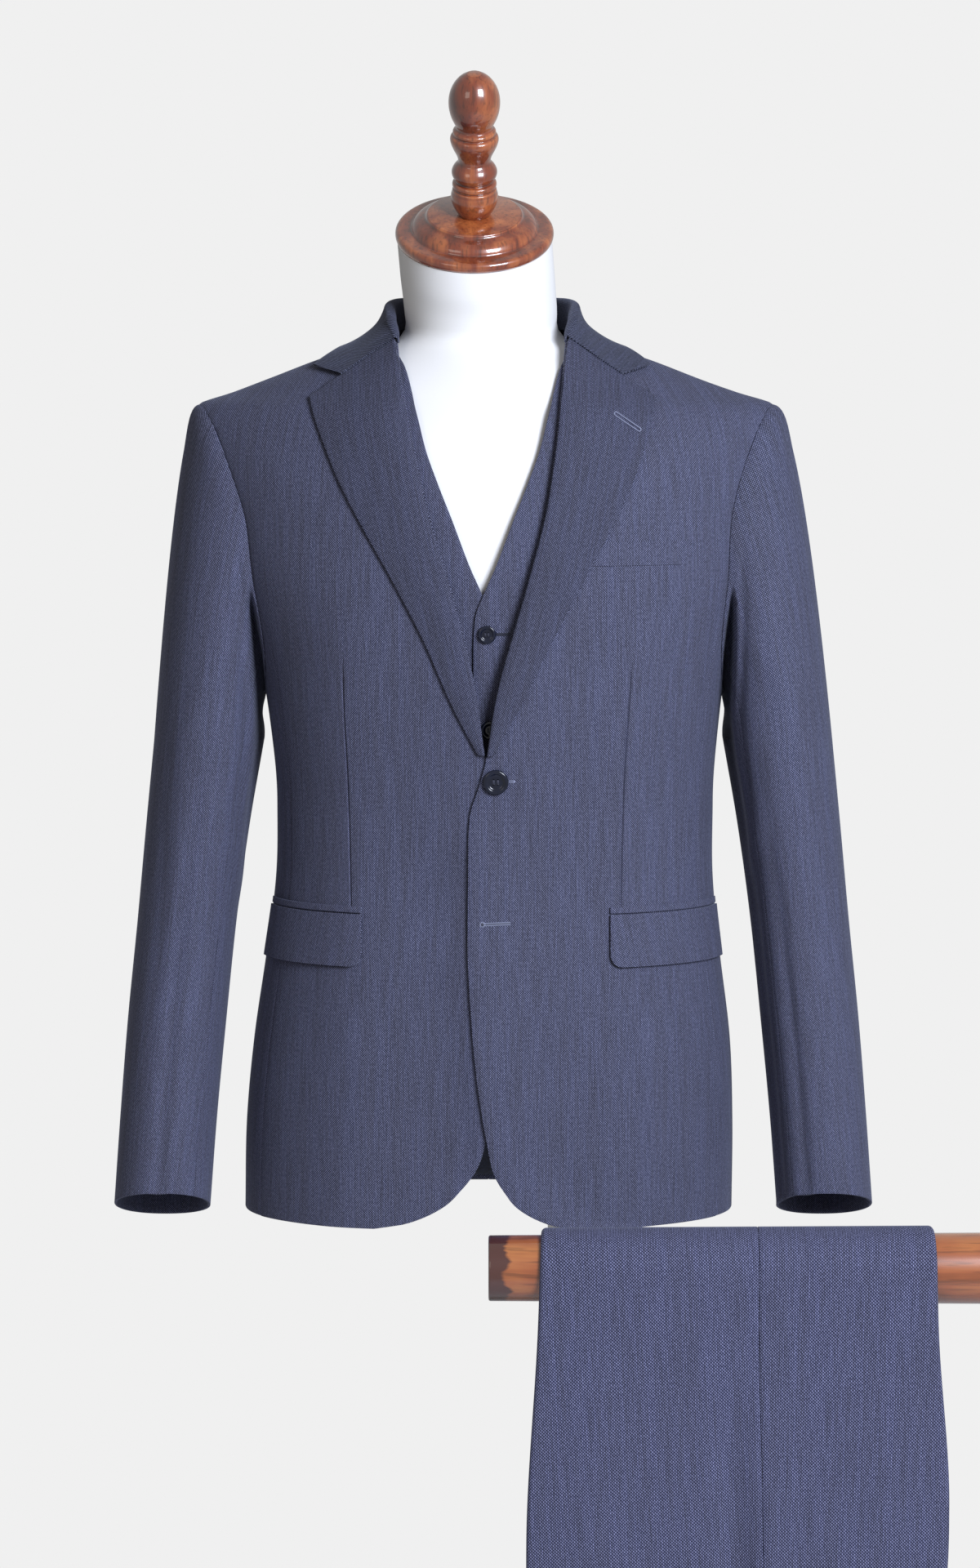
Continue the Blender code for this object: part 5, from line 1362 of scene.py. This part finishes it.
ROD_DARK, ROD_MID, ROD_LIGHT = "#421D10", "#A0552C", "#CC8446"
SAWN_END, SAWN_ROUGH, SAWN_FADE, SAWN_BROWN = 0.0150, 0.0200, (0.45, 0.60), "#4A2018"
ROD_GRAIN_MM, FIBRE_MM, ROD_EDGE = 3.0, (83.333, 11.111, 11.111), 0.0018

rod_wood = lacquered("varnished_hardwood_rod", 0, ROD_GRAIN_MM,
                     (ROD_DARK, ROD_MID, ROD_LIGHT))
# The sawn end took up more stain: dark, with a ragged edge that runs on along the grain
tree = rod_wood.node_tree
shader = tree.nodes["Principled BSDF"]
spot = add_node(tree, "ShaderNodeTexCoord").outputs["Object"]
fibres = add_node(tree, "ShaderNodeMapping", {
    "Vector": spot, "Scale": [1000 / size for size in FIBRE_MM]})
ragged = add_node(tree, "ShaderNodeTexNoise", {
    "Vector": fibres.outputs["Vector"], "Scale": 1.0, "Detail": 4.0}).outputs["Fac"]
along_rod = add_node(tree, "ShaderNodeSeparateXYZ", {"Vector": spot}).outputs["X"]
shift = add_node(tree, "ShaderNodeMath", {0: ragged, 1: SAWN_ROUGH}, operation="MULTIPLY")
reach = add_node(tree, "ShaderNodeMath", {0: along_rod, 1: shift.outputs[0]}).outputs[0]
dark_to, plain_from = (ROD_ENDS[0] + SAWN_END + SAWN_ROUGH * share for share in SAWN_FADE)
sawn = add_node(tree, "ShaderNodeMapRange", {"Value": reach, "From Min": dark_to,
                                             "From Max": plain_from})
ended = add_node(tree, "ShaderNodeMix", {
    "Factor": sawn.outputs["Result"], "A": linear(SAWN_BROWN),
    "B": shader.inputs["Base Color"].links[0].from_socket}, data_type="RGBA")
tree.links.new(ended.outputs["Result"], shader.inputs["Base Color"])
rod = bar("hardwood_rod", (ROD_ENDS[0], ROD_Y, ROD_Z), (ROD_ENDS[1], ROD_Y, ROD_Z), ROD_RADII,
          ROD_EDGE, 96)
dress(rod, rod_wood, "lacquered_wood", "trouser_rod")


# ---- Trousers ----
# Flat-fronted trousers of the same worsted, folded along their creases and hung over the rod
# at the middle: waist end down the front, leg hems down the back. The inner legs lie between.

TROUSER_CLOTH, TROUSER_INNER, DRAPE_GAP = 0.0016, 0.0030, 0.0006
TROUSERS = {
    "columns": ("run", "left", "seam", "right"),
    "rows": ((-0.550, 0.0850, 0.1960, 0.2980), (-0.300, 0.0640, 0.2020, 0.3220),
             (-0.100, 0.0440, 0.2090, 0.3450), (0.000, 0.0380, 0.2107, 0.3510),
             (0.100, 0.0345, 0.2107, 0.3540), (0.235, 0.0265, 0.2140, 0.3630),
             (0.330, 0.0260, 0.2150, 0.3560), (0.430, 0.0450, 0.2130, 0.3200),
             (0.500, 0.0620, 0.2110, 0.3020)),
}
INNER_OUT = DRAPE_GAP + TROUSER_INNER
OUTER_OUT = INNER_OUT + DRAPE_GAP + TROUSER_CLOTH
INNER_NARROW, INNER_SHORT = 0.0030, 0.0080
WAISTBAND_DROP, WAISTBAND_CLOTH, WAISTBAND_RIM = 0.0380, 0.0050, 0.3
LEG_ENDS, OVER_ROD, FOLD_ROUND, FOLD_CROWDING = (-0.550, 0.500), (0.056, 0.062), 0.0040, 1.6
WAIST_RUN = LEG_ENDS[1]
TROUSER_YARNS = ("#141732", "#1A1B2E", "#9C9FC3")
# Soft folds of the hanging legs: ridges above 0 and troughs below, beside the seam on the front
# fall only, and out at the edges on both, as a place that drifts along the run
SEAM_FOLDS = {
    "columns": ("out", "beside", "wide", "from", "to"),
    "rows": ((-0.0068, -0.022, 0.0125, 0.09, 0.30), (0.0024, 0.004, 0.017, 0.06, 0.40)),
}
EDGE_FOLDS = {
    "columns": ("out", "at", "drift", "wide"),
    "rows": ((0.0016, 0.090, -0.05, 0.030), (0.0014, 0.300, 0.04, 0.034)),
}
EDGE_FOLDS_FROM = (0.06, 0.20)


def drape(run, x, out):
    """Point at a run along the drape, over the rod and down either side, moved out."""
    along_rod = (x - ROD_ENDS[0]) / (ROD_ENDS[1] - ROD_ENDS[0])
    radius = mix(*ROD_RADII, along_rod) + out
    quarter = radius * math.pi / 2
    if abs(run) <= quarter:
        angle = run / radius
        return Vector((x, ROD_Y - radius * math.sin(angle), ROD_Z + radius * math.cos(angle)))
    return Vector((x, ROD_Y - math.copysign(radius, run), ROD_Z - (abs(run) - quarter)))


def trouser_wave(run, x):
    """How far the cloth of a leg stands out (above 0) or sinks in."""
    seam = blend_along(TROUSERS, "seam", run)
    wave = sum(out * hump(x, seam + beside, wide) * ramp(low, high, run)
               for out, beside, wide, low, high in SEAM_FOLDS["rows"]) if run > 0 else 0.0
    return wave + ramp(*EDGE_FOLDS_FROM, abs(run)) * sum(
        out * hump(x, at + drift * run, wide) for out, at, drift, wide in EDGE_FOLDS["rows"])


def leg_panel_point(inner_name, outer_name, out, inset, fold=None):
    def place(share, run):
        low = blend_along(TROUSERS, inner_name, run) + inset
        high = blend_along(TROUSERS, outer_name, run) - inset
        x = mix(low, high, share)
        near = {"left": x - low, "right": high - x}.get(fold, 1.0)
        turned_in = FOLD_ROUND * (1 - math.sqrt(max(
            1 - max(1 - near / FOLD_ROUND, 0.0) ** 2, 0.0)))
        return drape(run, x, out - turned_in + trouser_wave(run, x))
    return place


def edge_crowded(count, end):
    """Shares from 0 to 1 that crowd towards one end, where the cloth folds."""
    shares = spread(0, 1, count)
    return [s ** FOLD_CROWDING if end == "low" else 1 - (1 - s) ** FOLD_CROWDING
            for s in shares]


trouser_runs = (spread(LEG_ENDS[0], -OVER_ROD[1], 54) + spread(-OVER_ROD[0], OVER_ROD[0], 40)
                + spread(OVER_ROD[1], WAIST_RUN, 70))[::-1]
inner_end = WAIST_RUN - INNER_SHORT
tailored("inner_leg_layers", spread(0, 1, 60),
         [min(run, inner_end) if run < WAIST_RUN else inner_end + 0.0004
          for run in trouser_runs],
         leg_panel_point("left", "right", INNER_OUT, INNER_NARROW), TROUSER_INNER,
         "trouser_inner_legs")
trouser_suiting = worsted("birdseye_worsted_trousers", TROUSER_EYE_MM, TROUSER_YARNS)
for half, low, high, count, crowd, fold in (("back", "left", "seam", 60, "low", "left"),
                                            ("front", "seam", "right", 40, "high", "right")):
    tailored(half + "_leg_panel", sorted(edge_crowded(count, crowd)), trouser_runs,
             leg_panel_point(low, high, OUTER_OUT, SEAM, fold), TROUSER_CLOTH,
             "trouser_leg_" + half,
             finish=trouser_suiting)


def waistband_point(share, down):
    low, high = (blend_along(TROUSERS, name, WAIST_RUN) for name in ("left", "right"))
    return drape(WAIST_RUN + SEAM + WAISTBAND_DROP * down, mix(low, high, share), OUTER_OUT)


tailored("waistband", spread(0, 1, 60), spread(1, 0, 12), waistband_point, WAISTBAND_CLOTH,
         "trouser_waistband", rim=WAISTBAND_RIM,
         finish=trouser_suiting)


# ---- Floor, lights and camera ----
# A pale matt studio floor that fades into an even pale surround, two soft boxes, the stronger
# at the wearer's left, and the photograph's camera: a long lens five metres off.

FLOOR_GREY, SURROUND = "#E6E6E6", "#F0F0F0"
FLOOR_RADIUS, FLOOR_FADE = 1.9, (1.0, 1.85)
CAMERA_AIM = Vector((-0.0027, 0.0, 1.113))
CAMERA_AWAY, CAMERA_PITCH, CAMERA_LENS = 5.0, math.radians(5.5), 136.9

floor_shape = bmesh.new()
bmesh.ops.create_circle(floor_shape, cap_ends=True, segments=128, radius=FLOOR_RADIUS)
floor = piece_from(floor_shape, "studio_floor")
matt_floor, tree, shader = new_finish("matt_studio_floor", Base_Color=linear(FLOOR_GREY),
                                      Roughness=0.95)
spot = add_node(tree, "ShaderNodeTexCoord").outputs["Object"]
reach = add_node(tree, "ShaderNodeVectorMath", {0: spot}, operation="LENGTH").outputs["Value"]
fade = add_node(tree, "ShaderNodeMapRange", {
    "Value": reach, "From Min": FLOOR_FADE[0], "From Max": FLOOR_FADE[1], "To Min": 1.0,
    "To Max": 0.0}, interpolation_type="SMOOTHSTEP")
tree.links.new(fade.outputs["Result"], shader.inputs["Alpha"])
floor.data.materials.append(matt_floor)

# The surround shows evenly behind the suit and gleams in the lacquer, and lights the cloth
# more weakly than it looks
AMBIENT, MIRRORED = 0.195, 0.50
world = bpy.data.worlds.new("pale_surround")
world.use_nodes = True
bpy.context.scene.world = world
surround = world.node_tree.nodes["Background"]
surround.inputs["Color"].default_value = linear(SURROUND)
tree = world.node_tree
path = add_node(tree, "ShaderNodeLightPath").outputs
mirrored = add_node(tree, "ShaderNodeMath", {0: path["Is Glossy Ray"], 1: MIRRORED},
                    operation="MULTIPLY").outputs[0]
plain = add_node(tree, "ShaderNodeMath", {0: path["Is Camera Ray"], 1: mirrored},
                 operation="MAXIMUM").outputs[0]
seen = add_node(tree, "ShaderNodeMapRange", {"Value": plain, "To Min": AMBIENT, "To Max": 1.0})
tree.links.new(seen.outputs["Result"], surround.inputs["Strength"])

# Soft boxes: place, height aimed at, size, watts and colour
SOFT_BOXES = (("key_soft_box", (1.75, -3.0, 2.4), 1.15, 1.4, 172.0, "#E9F0FF"),
              ("fill_soft_box", (-2.0, -3.2, 2.0), 1.10, 1.3, 10.0, "#FFF4E8"))
for name, place, aimed_at, size, watts, colour in SOFT_BOXES:
    light = bpy.data.lights.new(name, "AREA")
    light.shape, light.size, light.energy = "SQUARE", size, watts
    light.color = linear(colour)[:3]
    made = bpy.data.objects.new(name, light)
    bpy.context.scene.collection.objects.link(made)
    made.location = place
    made.rotation_euler = (Vector((0, 0, aimed_at)) - Vector(place)).to_track_quat(
        "-Z", "Y").to_euler()

camera_data = bpy.data.cameras.new("studio_camera")
camera_data.lens = CAMERA_LENS
camera_data.sensor_width = 36.0
camera = bpy.data.objects.new("studio_camera", camera_data)
bpy.context.scene.collection.objects.link(camera)
camera.location = CAMERA_AIM + CAMERA_AWAY * Vector(
    (0, -math.cos(CAMERA_PITCH), math.sin(CAMERA_PITCH)))
camera.rotation_euler = (math.pi / 2 - CAMERA_PITCH, 0, 0)
bpy.context.scene.camera = camera
bpy.context.scene.view_settings.view_transform = "Standard"

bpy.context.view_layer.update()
for name, (width, length, area) in flat_sizes.items():
    print("flat %-28s %.3f x %.3f m, %.4f m2" % (name, width, length, area))
